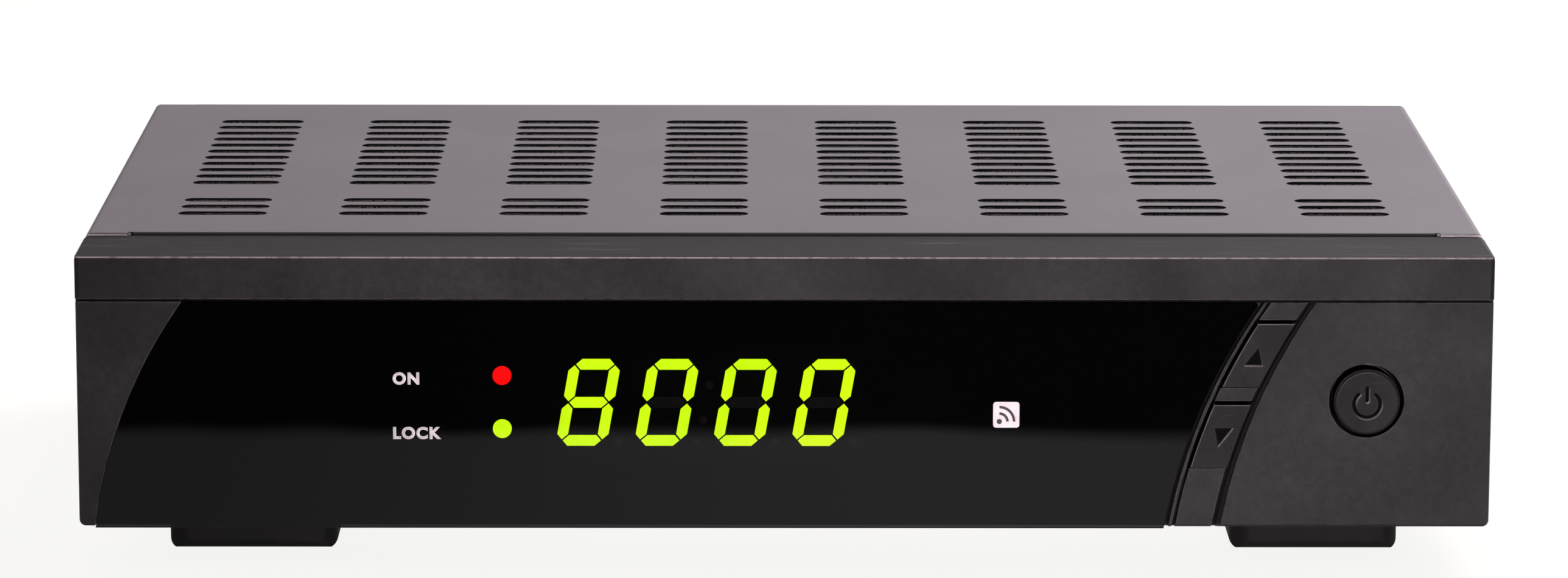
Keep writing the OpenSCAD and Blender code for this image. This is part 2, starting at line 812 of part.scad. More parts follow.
// A channel key with its flange, hollow behind, and its stem; s is 1 for up and -1 for down
module channel_key(z, s) {
    shell_y = key_wall - key_proud;
    x = band_mid(z);
    in_frame() difference() {
        union() {
            slab_y(-key_proud, flange_y1) key_outline(z, -key_side_gap, -key_end_gap);
            slab_y(flange_y0, flange_y1) key_outline(z, flange_reach, flange_reach);
            rod_y(x, z, stem_r, flange_y0, plunger_y0);
        }
        difference() {
            slab_y(shell_y, flange_y1 + eps)
                key_outline(z, -key_side_gap - key_wall, -key_end_gap - key_wall);
            rod_y(x, z, stem_r, shell_y - eps, flange_y1 + 2 * eps);
        }
        slab_y(-key_proud - eps, sign_d - key_proud) translate([x, z - arrow_low]) polygon([
            [-arrow_w / 2 - s * arrow_base_in, -s * arrow_h / 2],
            [arrow_w / 2 - s * arrow_base_in, -s * arrow_h / 2],
            [s * arrow_tip_out, s * arrow_h / 2]
        ]);
    }
}

module channel_up_key() {
    color("#2b292c") channel_key(up_key_z, 1);
}

module channel_down_key() {
    color("#2b292c") channel_key(down_key_z, -1);
}

switch_places = [[power_mid, power_z], [band_mid(up_key_z), up_key_z], [band_mid(down_key_z), down_key_z]];

module plunger(p) {
    color("#151515") in_frame() rod_y(p[0], p[1], plunger_r, plunger_y0, switch_y0 + plunger_in);
}

module power_plunger() {
    plunger(switch_places[0]);
}

module channel_up_plunger() {
    plunger(switch_places[1]);
}

module channel_down_plunger() {
    plunger(switch_places[2]);
}

module tact_switches() {
    leg_w = 0.7;
    leg_out = 1.2;
    leg_t = 0.3;
    cap_t = 0.3;
    leg_z = 2.2;
    color("#3a3a3c") in_frame() for (p = switch_places) difference() {
        union() {
            slab_y(switch_y0, front_pcb_y0) translate(p) square(switch_w, center = true);
            slab_y(switch_y0 - cap_t, switch_y0 + eps) translate(p)
                round_rect(switch_w - 1, switch_w - 1, 1);
            for (sz = [-1, 1]) translate([0, 0, p[1] + sz * leg_z]) block(
                [p[0] - switch_w / 2 - leg_out, p[0] + switch_w / 2 + leg_out],
                [front_pcb_y0 - leg_t, front_pcb_y0], [-leg_w / 2, leg_w / 2]
            );
        }
        rod_y(p[0], p[1], plunger_r + plunger_fit, switch_y0 - cap_t - eps,
            switch_y0 + plunger_in + key_travel + key_clear);
    }
}

// ---- Front board ----

module front_pcb() {
    color("#1f5c35") in_frame() difference() {
        block([front_pcb_left, front_pcb_right], [front_pcb_y0, front_pcb_y1], [front_pcb_z0, front_pcb_z1]);
        for (p = boss_places) rod_y(p[0], p[1], boss_pilot_r + 0.3, front_pcb_y0 - eps, front_pcb_y1 + eps);
    }
}

module front_pcb_screws() {
    color("#b9b9b4") in_frame() for (p = boss_places) translate([p[0], front_pcb_y1, p[1]])
        rotate([-90, 0, 0]) screw(boss_r - 0.2, screw_head_h - 0.4, boss_pilot_r - 0.05, front_screw_l);
}

// Which segments each figure lights, in the order top, upper right, lower right, bottom,
// lower left, upper left, middle
SEGMENTS = [
    [1, 1, 1, 1, 1, 1, 0], [0, 1, 1, 0, 0, 0, 0], [1, 1, 0, 1, 1, 0, 1], [1, 1, 1, 1, 0, 0, 1],
    [0, 1, 1, 0, 0, 1, 1], [1, 0, 1, 1, 0, 1, 1], [1, 0, 1, 1, 1, 1, 1], [1, 1, 1, 0, 0, 0, 0],
    [1, 1, 1, 1, 1, 1, 1], [1, 1, 1, 1, 0, 1, 1]
];
lean = tan(digit_lean);
mid_z = digit_h / 2;
seg_x0 = segment_w / 2;
seg_x1 = digit_w - segment_w / 2;
seg_z0 = segment_w / 2;
seg_z1 = digit_h - segment_w / 2;
// The two ends of each segment's middle line
seg_lines = [
    [[seg_x0, seg_z1], [seg_x1, seg_z1]], [[seg_x1, seg_z1], [seg_x1, mid_z]],
    [[seg_x1, mid_z], [seg_x1, seg_z0]], [[seg_x0, seg_z0], [seg_x1, seg_z0]],
    [[seg_x0, mid_z], [seg_x0, seg_z0]], [[seg_x0, seg_z1], [seg_x0, mid_z]],
    [[seg_x0, mid_z], [seg_x1, mid_z]]
];

// A six-sided segment along its line, leaned over and grown by g
module segment(i, g) {
    a = seg_lines[i][0];
    b = seg_lines[i][1];
    d = (b - a) / norm(b - a);
    n = [-d[1], d[0]];
    h = segment_w / 2 + g;
    tip = segment_gap - g;
    points = [
        a + d * tip, a + d * (tip + h) + n * h, b - d * (tip + h) + n * h,
        b - d * tip, b - d * (tip + h) - n * h, a + d * (tip + h) - n * h
    ];
    polygon([for (p = points) [p[0] + lean * (p[1] - mid_z), p[1]]]);
}

function digit_x(k) = display_mid - digit_w / 2 + (k - 1.5) * digit_pitch;
digit_z = display_z - mid_z;

module segments(g, state) {
    for (k = [0:3], i = [0:6]) if (state == 2 || SEGMENTS[shown_number[k]][i] == state)
        translate([digit_x(k), digit_z]) segment(i, g);
}

// Decimal points beside the digits and the two dots of the colon
module points(g) {
    for (k = [0:3]) translate([digit_x(k) + digit_w + point_r, digit_z + point_r]) circle(point_r + g);
    for (s = [-1, 1]) translate([display_mid + s * lean * colon_z, display_z + s * colon_z])
        circle(point_r + g);
}

module display_module() {
    color("#202022") in_frame() difference() {
        slab_y(display_y0, front_pcb_y0) translate([display_mid, display_z])
            square([display_w, display_h], center = true);
        slab_y(display_y0 - eps, display_y0 + segment_d) {
            segments(pocket_gap, 2);
            points(pocket_gap);
        }
    }
}

module lit_segments() {
    color("#d2ff14") in_frame() slab_y(display_y0, display_y0 + segment_d) segments(0, 1);
}

module dark_segments() {
    color("#3b3b3a") in_frame() slab_y(display_y0, display_y0 + segment_d) {
        segments(0, 0);
        points(0);
    }
}

module led_holder() {
    margin = 1.1;
    color("#111112") in_frame() slab_y(led_y1, front_pcb_y0) translate([led_mid, led_z - led_pitch / 2])
        round_rect(2 * (led_flange_r + margin), led_pitch + 2 * (led_flange_r + margin), 1);
}

// A flat-topped lamp with its flange
module led(z) {
    in_frame() {
        rod_y(led_mid, z, led_r, led_y0, led_y1);
        rod_y(led_mid, z, led_flange_r, led_y1 - led_flange_t, led_y1);
    }
}

module power_led() {
    color("#ff1010") led(led_z);
}

module signal_led() {
    color("#b8ff10") led(led_z - led_pitch);
}

module ir_receiver() {
    lead_w = 0.5;
    lead_pitch = 2.54;
    lead_low = 3;
    color("#1c1820") in_frame() {
        slab_y(sensor_y0, sensor_y0 + sensor_t) translate([sensor_mid, sensor_z])
            round_rect(sensor_w, sensor_h, 0.5);
        translate([sensor_mid, sensor_y0, sensor_z]) intersection() {
            sphere(sensor_lens_r);
            translate([0, -sensor_lens_r, 0]) cube(2 * sensor_lens_r + eps, center = true);
        }
        for (k = [-1:1]) block(
            [sensor_mid + k * lead_pitch - lead_w / 2, sensor_mid + k * lead_pitch + lead_w / 2],
            [sensor_y0 + sensor_t - eps, front_pcb_y0], [sensor_z - lead_low, sensor_z - lead_low + lead_w]
        );
    }
}

// Ribbon from the back of the front board to the main board
ribbon_x = -5;
ribbon_w = 14;
ribbon_t = 0.9;
header_w = 18;
header_h = 5;
header_d = 5.5;
front_header_z = 14;
main_header_y = main_y0 + 2;
ribbon_y0 = front_pcb_y1 + header_d;
ribbon_z0 = front_header_z;
ribbon_z1 = board_z1 + header_h / 2;
ribbon_sag = 2;
ribbon_steps = 16;

module ribbon_headers() {
    color("#e6e2d6") in_frame() {
        block([ribbon_x - header_w / 2, ribbon_x + header_w / 2], [front_pcb_y1, ribbon_y0],
            [front_header_z - header_h / 2, front_header_z + header_h / 2]);
        block([ribbon_x - header_w / 2, ribbon_x + header_w / 2],
            [main_header_y, main_header_y + header_d], [board_z1, board_z1 + header_h]);
    }
}

function ribbon_z(s) = ribbon_z0 + (ribbon_z1 - ribbon_z0) * (1 - cos(180 * s)) / 2
    - ribbon_sag * pow(sin(180 * s), 2);
function ribbon_y(s) = ribbon_y0 + (main_header_y - ribbon_y0) * s;

module ribbon_cable() {
    steps = [for (i = [0:ribbon_steps]) i / ribbon_steps];
    back = [for (i = [0:ribbon_steps]) 1 - i / ribbon_steps];
    color("#9a9a9c") in_frame() slab_x(ribbon_x - ribbon_w / 2, ribbon_x + ribbon_w / 2) polygon(concat(
        [for (s = steps) [ribbon_y(s), ribbon_z(s) + ribbon_t / 2]],
        [for (s = back) [ribbon_y(s), ribbon_z(s) - ribbon_t / 2]]
    ));
}

// ---- Steel case ----

// Centres of the rows of slots, front block first
slot_rows = concat(
    [for (i = [0:front_rows - 1]) first_row_y + i * slot_pitch],
    [for (i = [0:rear_rows - 1]) first_row_y + (front_rows - 1 + i) * slot_pitch + row_gap]
);

module slot_field() {
    for (k = [0:slot_groups - 1], y = slot_rows)
        translate([(k - (slot_groups - 1) / 2) * slot_group_pitch, y]) slot(slot_l, slot_w);
}

// A folded sheet open at the bottom, seen along the fold
module folded_sheet(w, z0, z1, t) {
    difference() {
        translate([0, z1]) mirror([0, 1]) round_foot_rect(w, z1 - z0, fold_r);
        translate([0, z1 - t]) mirror([0, 1]) round_foot_rect(w - 2 * t, z1 - z0, fold_r - t);
    }
}

// The cover's top in section from front to back, with both its flanges
module cover_long_section() {
    mid = (cover_y0 + rear_y) / 2;
    difference() {
        translate([mid, 0]) folded_sheet(rear_y - cover_y0, cover_z1 - cover_tail_h, cover_z1, cover_t);
        translate([cover_y0 - eps, 0]) square([3 * cover_t, cover_z1 - cover_lip_h]);
    }
}

// Between the notches the cover folds down at the front; outboard of them it ends in a cut edge
module top_cover() {
    half = cover_w / 2;
    color("#7d7680") in_frame() difference() {
        union() {
            slab_y(cover_y0 + fold_r, rear_y - fold_r) folded_sheet(cover_w, cover_z0, cover_z1, cover_t);
            slab_x(notch_in - half, half - notch_in) cover_long_section();
            slab_y(cover_y0, cover_y0 + fold_r + eps) difference() {
                folded_sheet(cover_w, cover_z0, cover_z1, cover_t);
                translate([0, cover_z1]) square([cover_w - 2 * notch_in, 4 * cover_t], center = true);
            }
        }
        slab_z(cover_z1 - 2 * cover_t, cover_z1 + eps) slot_field();
        slab_z(cover_z1 - cover_lip_h - eps, cover_z1 + eps) for (s = [-1, 1])
            translate([s * (half - notch_in), cover_y0]) square([notch_w, 2 * notch_w], center = true);
        for (s = [-1, 1], k = [0:side_slots - 1]) translate([
            s * (half - cover_t / 2), side_slot_y + (k - (side_slots - 1) / 2) * side_slot_pitch, side_slot_z
        ]) rotate([0, 90, 0]) linear_extrude(3 * cover_t, center = true) slot(side_slot_l, slot_w);
        for (y = side_screw_ys) rod_x(y, side_screw_z, screw_r + 0.3, -half - eps, half + eps);
        for (x = tail_screw_xs) rod_y(x, tail_screw_z, screw_r + 0.3, rear_y - 2 * cover_t, rear_y + eps);
    }
}

module cover_screws() {
    head_h = 1.4;
    shank_l = cover_t + sheet_gap + pan_t + 0.8;
    color("#3a3a3c") in_frame() {
        for (s = [-1, 1], y = side_screw_ys) translate([s * cover_w / 2, y, side_screw_z])
            rotate([0, s * 90, 0]) screw(screw_head_r, head_h, screw_r, shank_l);
        for (x = tail_screw_xs) translate([x, rear_y, tail_screw_z])
            rotate([-90, 0, 0]) screw(screw_head_r, head_h, screw_r, shank_l);
    }
}

// Tray in section from front to back: front lip, floor and rear wall
module pan_long_section() {
    mid = (pan_y0 + pan_y1) / 2;
    difference() {
        translate([mid, pan_lift]) round_foot_rect(pan_y1 - pan_y0, pan_z1 - pan_lift, fold_r);
        translate([mid, floor_z]) round_foot_rect(pan_y1 - pan_y0 - 2 * pan_t, pan_z1, fold_r - pan_t);
        translate([pan_y0 - eps, pan_lift + pan_lip_h]) square([3 * pan_t, pan_z1]);
    }
}

// Tray in section from side to side: floor and side flanges
module pan_cross_section() {
    difference() {
        translate([0, pan_lift]) round_foot_rect(pan_w, pan_side_h, fold_r);
        translate([0, floor_z]) round_foot_rect(pan_w - 2 * pan_t, pan_side_h, fold_r - pan_t);
    }
}

module standoff(p) {
    translate([p[0], p[1], floor_z - eps]) cylinder(r1 = standoff_r0, r2 = standoff_r1, h = standoff_h + eps);
}

module standoff_cut(p) {
    translate([p[0], p[1], pan_lift - eps]) cylinder(
        r1 = standoff_r0 - standoff_dish, r2 = standoff_r1 - standoff_dish, h = standoff_h + eps
    );
    rod_z(p[0], p[1], tap_r, pan_lift, board_z0 + eps);
}

// The D-shaped outline of the serial port, grown by g
module serial_d(g) {
    w = serial_d_w / 2 + g;
    h = serial_d_h / 2 + g;
    polygon([[-w, h], [w, h], [w - serial_d_lean, -h], [serial_d_lean - w, -h]]);
}

// The outline of the audio and video socket with its slanting corner, shrunk by g
module scart_outline(g) {
    w = scart_rim_w / 2 - g;
    h = scart_rim_h / 2 - g;
    polygon([[-w, h], [w, h], [w, scart_corner - h], [w - scart_corner, -h], [scart_key - w, -h],
        [-w, scart_key - h]]);
}

// The mains inlet's cavity: two lobes joined by a waist
module inlet_outline() {
    for (s = [-1, 1]) translate([s * inlet_pin_pitch / 2, 0]) circle(inlet_lobe_r);
    square([inlet_pin_pitch, inlet_waist], center = true);
}

module rear_cuts() {
    for (x = [lnb_mid, lnb_mid - lnb_pitch]) translate([x, lnb_z]) circle(lnb_hole_r);
    translate([serial_mid, serial_z]) {
        serial_d(serial_shell_t + cut_clear);
        for (s = [-1, 1]) translate([s * serial_screw_pitch / 2, 0]) circle(jack_r + cut_clear);
    }
    translate([scart_mid, scart_z]) scart_outline(-cut_clear);
    for (k = [-1:1]) translate([rca_mid + k * rca_pitch, rca_z]) circle(rca_base_r + cut_clear);
    translate([inlet_mid, inlet_z])
        round_rect(inlet_rim_w + 2 * cut_clear, inlet_rim_h + 2 * cut_clear, 2);
}

module chassis_pan() {
    hook_z = floor_z + hook_lift;
    color("#b4b4b0") in_frame() difference() {
        union() {
            slab_x(-pan_w / 2, pan_w / 2) pan_long_section();
            slab_y(pan_y0 + fold_r, pan_y1 - pan_t) pan_cross_section();
            for (p = concat(main_screws, supply_screws)) standoff(p);
        }
        for (p = concat(main_screws, supply_screws)) standoff_cut(p);
        slab_y(pan_y1 - 2 * pan_t, pan_y1 + eps) rear_cuts();
        for (x = hook_xs) block(
            [x - hook_w / 2 - hook_clear, x + hook_w / 2 + hook_clear], [pan_y0 - eps, pan_y0 + pan_t + eps],
            [hook_z - hook_clear, hook_z + hook_t + hook_clear]
        );
        slab_z(pan_lift - eps, floor_z + eps) for (i = [0:belly_cols - 1], j = [0:belly_rows - 1])
            translate([belly_x + (i - (belly_cols - 1) / 2) * belly_x_pitch, belly_y + j * belly_y_pitch])
                slot(slot_l, slot_w);
        for (p = foot_places) rod_z(p[0], p[1], screw_r + 0.1, pan_lift - eps, floor_z + eps);
        for (y = side_screw_ys) rod_x(y, side_screw_z, screw_r + 0.1, -pan_w / 2 - eps, pan_w / 2 + eps);
        for (x = tail_screw_xs) rod_y(x, tail_screw_z, screw_r + 0.1, pan_y1 - 2 * pan_t, pan_y1 + eps);
    }
}

// ---- Feet ----

module foot(p) {
    z0 = -foot_h;
    z1 = pan_lift;
    color("#1b1a1c") in_frame() translate([p[0], p[1], 0]) difference() {
        intersection() {
            slab_z(z0, z1) round_rect(foot_w, foot_d, foot_corner_r);
            translate([0, 0, z0]) slab_y(-foot_d, foot_d) round_foot_rect(foot_w, z1 - z0, foot_edge_r);
            translate([0, 0, z0]) slab_x(-foot_w, foot_w) round_foot_rect(foot_d, z1 - z0, foot_edge_r);
        }
        rod_z(0, 0, foot_bore_r, z0 - eps, z1 - foot_web);
        rod_z(0, 0, foot_hole_r, z0 - eps, z1 + eps);
    }
}

module foot_front_left() {
    foot(foot_places[0]);
}

module foot_front_right() {
    foot(foot_places[1]);
}

module foot_rear_left() {
    foot(foot_places[2]);
}

module foot_rear_right() {
    foot(foot_places[3]);
}

module foot_screws() {
    color("#b9b9b4") in_frame() for (p = foot_places) translate([p[0], p[1], pan_lift - foot_web])
        rotate([180, 0, 0]) screw(screw_head_r, screw_head_h, screw_r, foot_web + pan_t + 1.5);
}

// ---- Main board ----

module board(x, y, screws) {
    difference() {
        block(x, y, [board_z0, board_z1]);
        for (p = screws) rod_z(p[0], p[1], board_hole_r, board_z0 - eps, board_z1 + eps);
    }
}

module main_pcb() {
    color("#1f5c35") in_frame() board([main_left, main_right], [main_y0, board_y1], main_screws);
}

module pcb_screws() {
    color("#b9b9b4") in_frame() for (p = concat(main_screws, supply_screws))
        translate([p[0], p[1], board_z1]) screw(screw_head_r, screw_head_h, tap_r - 0.05, screw_l - 1);
}

cpu_in = 24;
cpu_w = 27;
cpu_t = 2.2;
sink_w = 34;
sink_gap = 11.4;
cpu_x = tuner_x0 - sink_gap - sink_w / 2;
cpu_y = main_y0 + cpu_in;
sink_base = 3;
sink_h = 13;
sink_fins = 9;
sink_fin_t = 1.4;

module main_processor() {
    color("#19191b") in_frame() translate([cpu_x, cpu_y, 0]) slab_z(board_z1, board_z1 + cpu_t)
        square(cpu_w, center = true);
}

module processor_heatsink() {
    z0 = board_z1 + cpu_t;
    gap = (sink_w - sink_fins * sink_fin_t) / (sink_fins - 1);
    color("#8f9296") in_frame() translate([cpu_x, cpu_y, 0]) difference() {
        slab_z(z0, z0 + sink_h) square(sink_w, center = true);
        for (k = [0:sink_fins - 2]) translate([sink_fin_t - sink_w / 2 + k * (sink_fin_t + gap), 0, 0])
            block([0, gap], [-sink_w, sink_w], [z0 + sink_base, z0 + sink_h + eps]);
    }
}

memory_size = [10, 22, 1.4];
memory_place = [-31, 4];
memory_pitch = [-15, 0];
tone_size = [7, 6, 1.8];
tone_place = [24, -8];
// Each chip's place from the processor's middle, and its width, depth and height
chips = [[memory_place, memory_size], [memory_place + memory_pitch, memory_size], [tone_place, tone_size]];

module memory_chips() {
    lead_w = 0.9;
    lead_t = 0.35;
    lead_in = 0.6;
    color("#1d1d1f") in_frame() for (c = chips) translate([cpu_x, cpu_y, board_z1] + [c[0][0], c[0][1], 0]) {
        half = c[1] / 2;
        block([-half[0], half[0]], [-half[1], half[1]], [lead_t, c[1][2]]);
        block([-half[0] - lead_w, half[0] + lead_w], [lead_in - half[1], half[1] - lead_in], [0, lead_t]);
    }
}

module can(x, y, r, h) {
    groove = 0.35;
    groove_z = 1.8;
    translate([x, y, board_z1]) rotate_extrude() polygon([
        [0, 0], [r, 0], [r, groove_z], [r - groove, groove_z + groove], [r, groove_z + 2 * groove],
        [r, h - groove], [r - groove, h], [0, h]
    ]);
}

can_gap = 3;
supply_can_gap = 1.3;
can_front = 12;
left_can_in = 14;
back_can_step = 22;
right_can_in = 32;
supply_can_in = 6;
supply_can_front = 24.6;
left_cans = [main_left + left_can_in, main_y0 + can_front];
back_cans = left_cans + [0, back_can_step];
right_cans = [main_right - right_can_in, main_y0 + can_front];
supply_cans = [supply_x0 + supply_can_in, supply_y0 + supply_can_front];
// Each row's number of capacitors, first place, radius, height and gap
can_rows = [
    [3, left_cans, 4, 12, can_gap], [2, back_cans, 5, 16, can_gap], [3, right_cans, 3.15, 9, can_gap],
    [3, supply_cans, 4.2, 18, supply_can_gap]
];

module electrolytic_capacitors() {
    color("#23324e") in_frame() for (c = can_rows, k = [0:c[0] - 1])
        can(c[1][0] + k * (2 * c[2] + c[4]), c[1][1], c[2], c[3]);
}

module tuner_can() {
    dimple_r = 1.4;
    dimple_d = 0.4;
    dimple_x = 7;
    dimple_y = 10;
    dimple_row = 20;
    dimple_pitch = [(tuner_x1 - tuner_x0 - 2 * dimple_x) / 3, dimple_row];
    z1 = board_z1 + tuner_h;
    color("#c2c3bf") in_frame() difference() {
        union() {
            block([tuner_x0, tuner_x1], [tuner_y0, tuner_y1 - tuner_lid_t], [board_z1, z1]);
            block([tuner_x0 - tuner_lid_t, tuner_x1 + tuner_lid_t], [tuner_y0 - tuner_lid_t, tuner_y1],
                [z1 - tuner_lid_h, z1 + tuner_lid_t]);
        }
        for (i = [0:3], j = [0:1]) rod_z(
            tuner_x0 + dimple_x + i * dimple_pitch[0], tuner_y0 + dimple_y + j * dimple_pitch[1], dimple_r,
            z1 + tuner_lid_t - dimple_d, z1 + tuner_lid_t + eps
        );
    }
}

// The barrel is its thread's core radius where the nut holds it and its full radius outside
module lnb_connector(x) {
    end = rear_y + lnb_out;
    seat = tuner_y1 - tuner_lid_t;
    color("#cfcfc8") in_frame() difference() {
        union() {
            rod_y(x, lnb_z, lnb_r - lnb_neck, seat, nut_y1 + eps);
            rod_y(x, lnb_z, lnb_r, nut_y1, end);
        }
        rod_y(x, lnb_z, lnb_bore_r, end - lnb_bore_d, end + eps);
        rod_y(x, lnb_z, lnb_pin_r, end - lnb_pin_d, end + eps);
    }
}

module lnb_in_connector() {
    lnb_connector(lnb_mid);
}

module lnb_out_connector() {
    lnb_connector(lnb_mid - lnb_pitch);
}

module connector_nuts() {
    color("#c9c9c2") in_frame() for (x = [lnb_mid, lnb_mid - lnb_pitch]) difference() {
        union() {
            rod_y(x, lnb_z, washer_r, pan_y1, pan_y1 + washer_t);
            translate([x, nut_y1, lnb_z]) rotate([90, 0, 0])
                cylinder(r = nut_r, h = nut_t + eps, $fn = 6);
        }
        rod_y(x, lnb_z, lnb_r - lnb_neck + nut_fit, pan_y1 - eps, nut_y1 + eps);
    }
}

// ---- Sockets ----

module scart_slots(w, h) {
    for (row = [-1, 1], k = [0:scart_pins - 1]) translate([
        (k - (scart_pins - 1) / 2) * scart_pitch + row * scart_pitch / 4, row * scart_row
    ]) square([w, h], center = true);
}

module scart_socket() {
    back = pan_y1 - pan_t;
    end = pan_y1 + scart_rim_out;
    color("#141415") in_frame() translate([scart_mid, 0, scart_z]) difference() {
        union() {
            slab_y(back - scart_d, back) square([scart_w, scart_h], center = true);
            slab_y(back - eps, end) scart_outline(0);
        }
        difference() {
            slab_y(end - scart_depth, end + eps) scart_outline(scart_wall);
            slab_y(end - scart_depth - eps, end + 2 * eps) scart_outline(scart_wall + scart_skirt);
        }
        slab_y(end - scart_depth, end + eps) scart_slots(scart_slot_w, scart_slot_h);
    }
}

module scart_contacts() {
    start = pan_y1 + scart_rim_out - scart_depth;
    color("#c8b26a") in_frame() translate([scart_mid, 0, scart_z])
        slab_y(start, start + contact_l) scart_slots(contact_t, contact_h);
}

rca_face = pan_y1 - pan_t;
rca_seat = pan_y1 + rca_base_out;

module rca_block() {
    color("#141415") in_frame() block(
        [rca_mid - rca_block_w / 2, rca_mid + rca_block_w / 2], [rca_face - rca_block_d, rca_face],
        [board_z1, board_z1 + rca_h]
    );
}

module rca_insert(k) {
    end = rear_y + rca_out - rca_core_back;
    in_frame() translate([rca_mid + k * rca_pitch, rca_face, rca_z]) rotate([-90, 0, 0])
        rotate_extrude() polygon([
            [rca_bore_r, 0], [rca_base_r, 0], [rca_base_r, rca_seat - rca_face],
            [rca_core_r, rca_seat - rca_face], [rca_core_r, end - rca_face], [rca_bore_r, end - rca_face]
        ]);
}

module rca_insert_yellow() {
    color("#e8c012") rca_insert(1);
}

module rca_insert_white() {
    color("#f0f0ec") rca_insert(0);
}

module rca_insert_red() {
    color("#c8141a") rca_insert(-1);
}

module rca_shells() {
    color("#cfcfc8") in_frame() for (k = [-1:1]) difference() {
        rod_y(rca_mid + k * rca_pitch, rca_z, rca_r, rca_seat, rear_y + rca_out);
        rod_y(rca_mid + k * rca_pitch, rca_z, rca_r - rca_shell_t, rca_seat - eps, rear_y + rca_out + eps);
    }
}

module serial_shell() {
    back = pan_y1 - pan_t;
    color("#c9c9c2") in_frame() translate([serial_mid, 0, serial_z]) difference() {
        union() {
            slab_y(back - serial_plate_t, back) round_rect(serial_plate_w, serial_plate_h, 1.5);
            slab_y(back - eps, pan_y1 + serial_out) serial_d(serial_shell_t);
        }
        slab_y(back - serial_plate_t - eps, pan_y1 + serial_out + eps) serial_d(0);
        slab_y(back - serial_plate_t - eps, back + eps) for (s = [-1, 1])
            translate([s * serial_screw_pitch / 2, 0]) circle(jack_r + 0.05);
    }
}

module serial_insert() {
    back = pan_y1 - pan_t;
    body_y1 = back - serial_plate_t;
    end = pan_y1 + serial_out - 0.2;
    color("#17171a") in_frame() translate([serial_mid, 0, serial_z]) difference() {
        union() {
            slab_y(body_y1 - eps, end) serial_d(-0.05);
            block([-serial_screw_pitch / 2 + jack_r + 0.5, serial_screw_pitch / 2 - jack_r - 0.5],
                [body_y1 - serial_body_d, body_y1], [board_z1 - serial_z, serial_plate_h / 2]);
        }
        slab_y(end - 4, end + eps) {
            for (k = [-2:2]) translate([k * serial_pin_pitch, serial_pin_row / 2])
                circle(serial_pin_r);
            for (k = [-1.5:1:1.5]) translate([k * serial_pin_pitch, -serial_pin_row / 2])
                circle(serial_pin_r);
        }
    }
}

module serial_jackscrews() {
    back = pan_y1 - pan_t - serial_plate_t;
    xs = [for (s = [-1, 1]) serial_mid + s * serial_screw_pitch / 2];
    color("#c9c9c2") in_frame() for (x = xs) translate([x, 0, serial_z]) difference() {
        union() {
            translate([0, pan_y1 + jack_out, 0]) rotate([90, 0, 0])
                cylinder(r = jack_hex_r, h = jack_out, $fn = 6);
            rod_y(0, 0, jack_r, back - 2, pan_y1 + eps);
        }
        rod_y(0, 0, tap_r, pan_y1, pan_y1 + jack_out + eps);
    }
}

// ---- Power supply ----

module supply_pcb() {
    color("#b98a4c") in_frame() board([supply_x0, supply_x1], [supply_y0, board_y1], supply_screws);
}

module mains_inlet() {
    back = pan_y1 - pan_t;
    end = pan_y1 + inlet_rim_out;
    color("#141415") in_frame() translate([inlet_mid, 0, inlet_z]) difference() {
        union() {
            slab_y(back - inlet_d, back) round_rect(inlet_w, inlet_h, 1);
            slab_y(back - eps, end) round_rect(inlet_rim_w, inlet_rim_h, 2);
        }
        slab_y(end - inlet_depth, end + eps) inlet_outline();
    }
}

module inlet_pins() {
    start = pan_y1 + inlet_rim_out - inlet_depth;
    color("#cfcfc8") in_frame() for (s = [-1, 1])
        rod_y(inlet_mid + s * inlet_pin_pitch / 2, inlet_z, inlet_pin_r, start, start + inlet_pin_l);
}

core_w = 20;
core_h = 16;
coil_d = 21;
coil_place = [13.2, 66];
coil_x = supply_x0 + coil_place[0];
coil_y = board_y1 - coil_place[1];
core_leg = 4.5;
bobbin_lift = 2;
window_h = 10.8;

module transformer_core() {
    z0 = board_z1 + bobbin_lift;
    color("#3c3a3b") in_frame() translate([coil_x, coil_y, 0]) difference() {
        block([-core_w / 2, core_w / 2], [-coil_d / 2, coil_d / 2], [z0, z0 + core_h]);
        block([-core_w / 2 - eps, core_w / 2 + eps], [core_leg - coil_d / 2, coil_d / 2 - core_leg],
            [z0 - eps, z0 + window_h]);
    }
}

module transformer_winding() {
    gap = 0.2;
    tape_out = 1.5;
    flange_in = 0.5;
    z0 = board_z1 + bobbin_lift;
    depth = coil_d - 2 * (core_leg + gap);
    color("#d9b52e") in_frame() translate([coil_x, coil_y, 0]) {
        slab_z(z0, z0 + window_h - gap) round_rect(core_w + 2 * tape_out, depth, 2);
        slab_z(board_z1, z0 + eps) round_rect(core_w + 2 * flange_in, depth - 2 * flange_in, 1);
    }
}

module bulk_capacitor() {
    r = 8;
    h = 26;
    edge = 0.6;
    back = 36.5;
    color("#2a2226") in_frame() can(supply_x0 + r + edge, board_y1 - back, r, h);
}

module line_choke() {
    w = 12;
    d = 11;
    base_h = 2;
    h = 13;
    edge = 1.5;
    back = 36;
    color("#8a4a22") in_frame() translate([supply_x1 - w / 2 - edge, board_y1 - back, 0]) {
        slab_z(board_z1, board_z1 + base_h) square([w, d], center = true);
        slab_z(board_z1 + base_h - eps, board_z1 + h) round_rect(w - 2, d - 2, 2.5);
        slab_z(board_z1 + h - eps, board_z1 + h + base_h) square([w, d], center = true);
    }
}

fuse_l = 20;
fuse_r = 2.6;

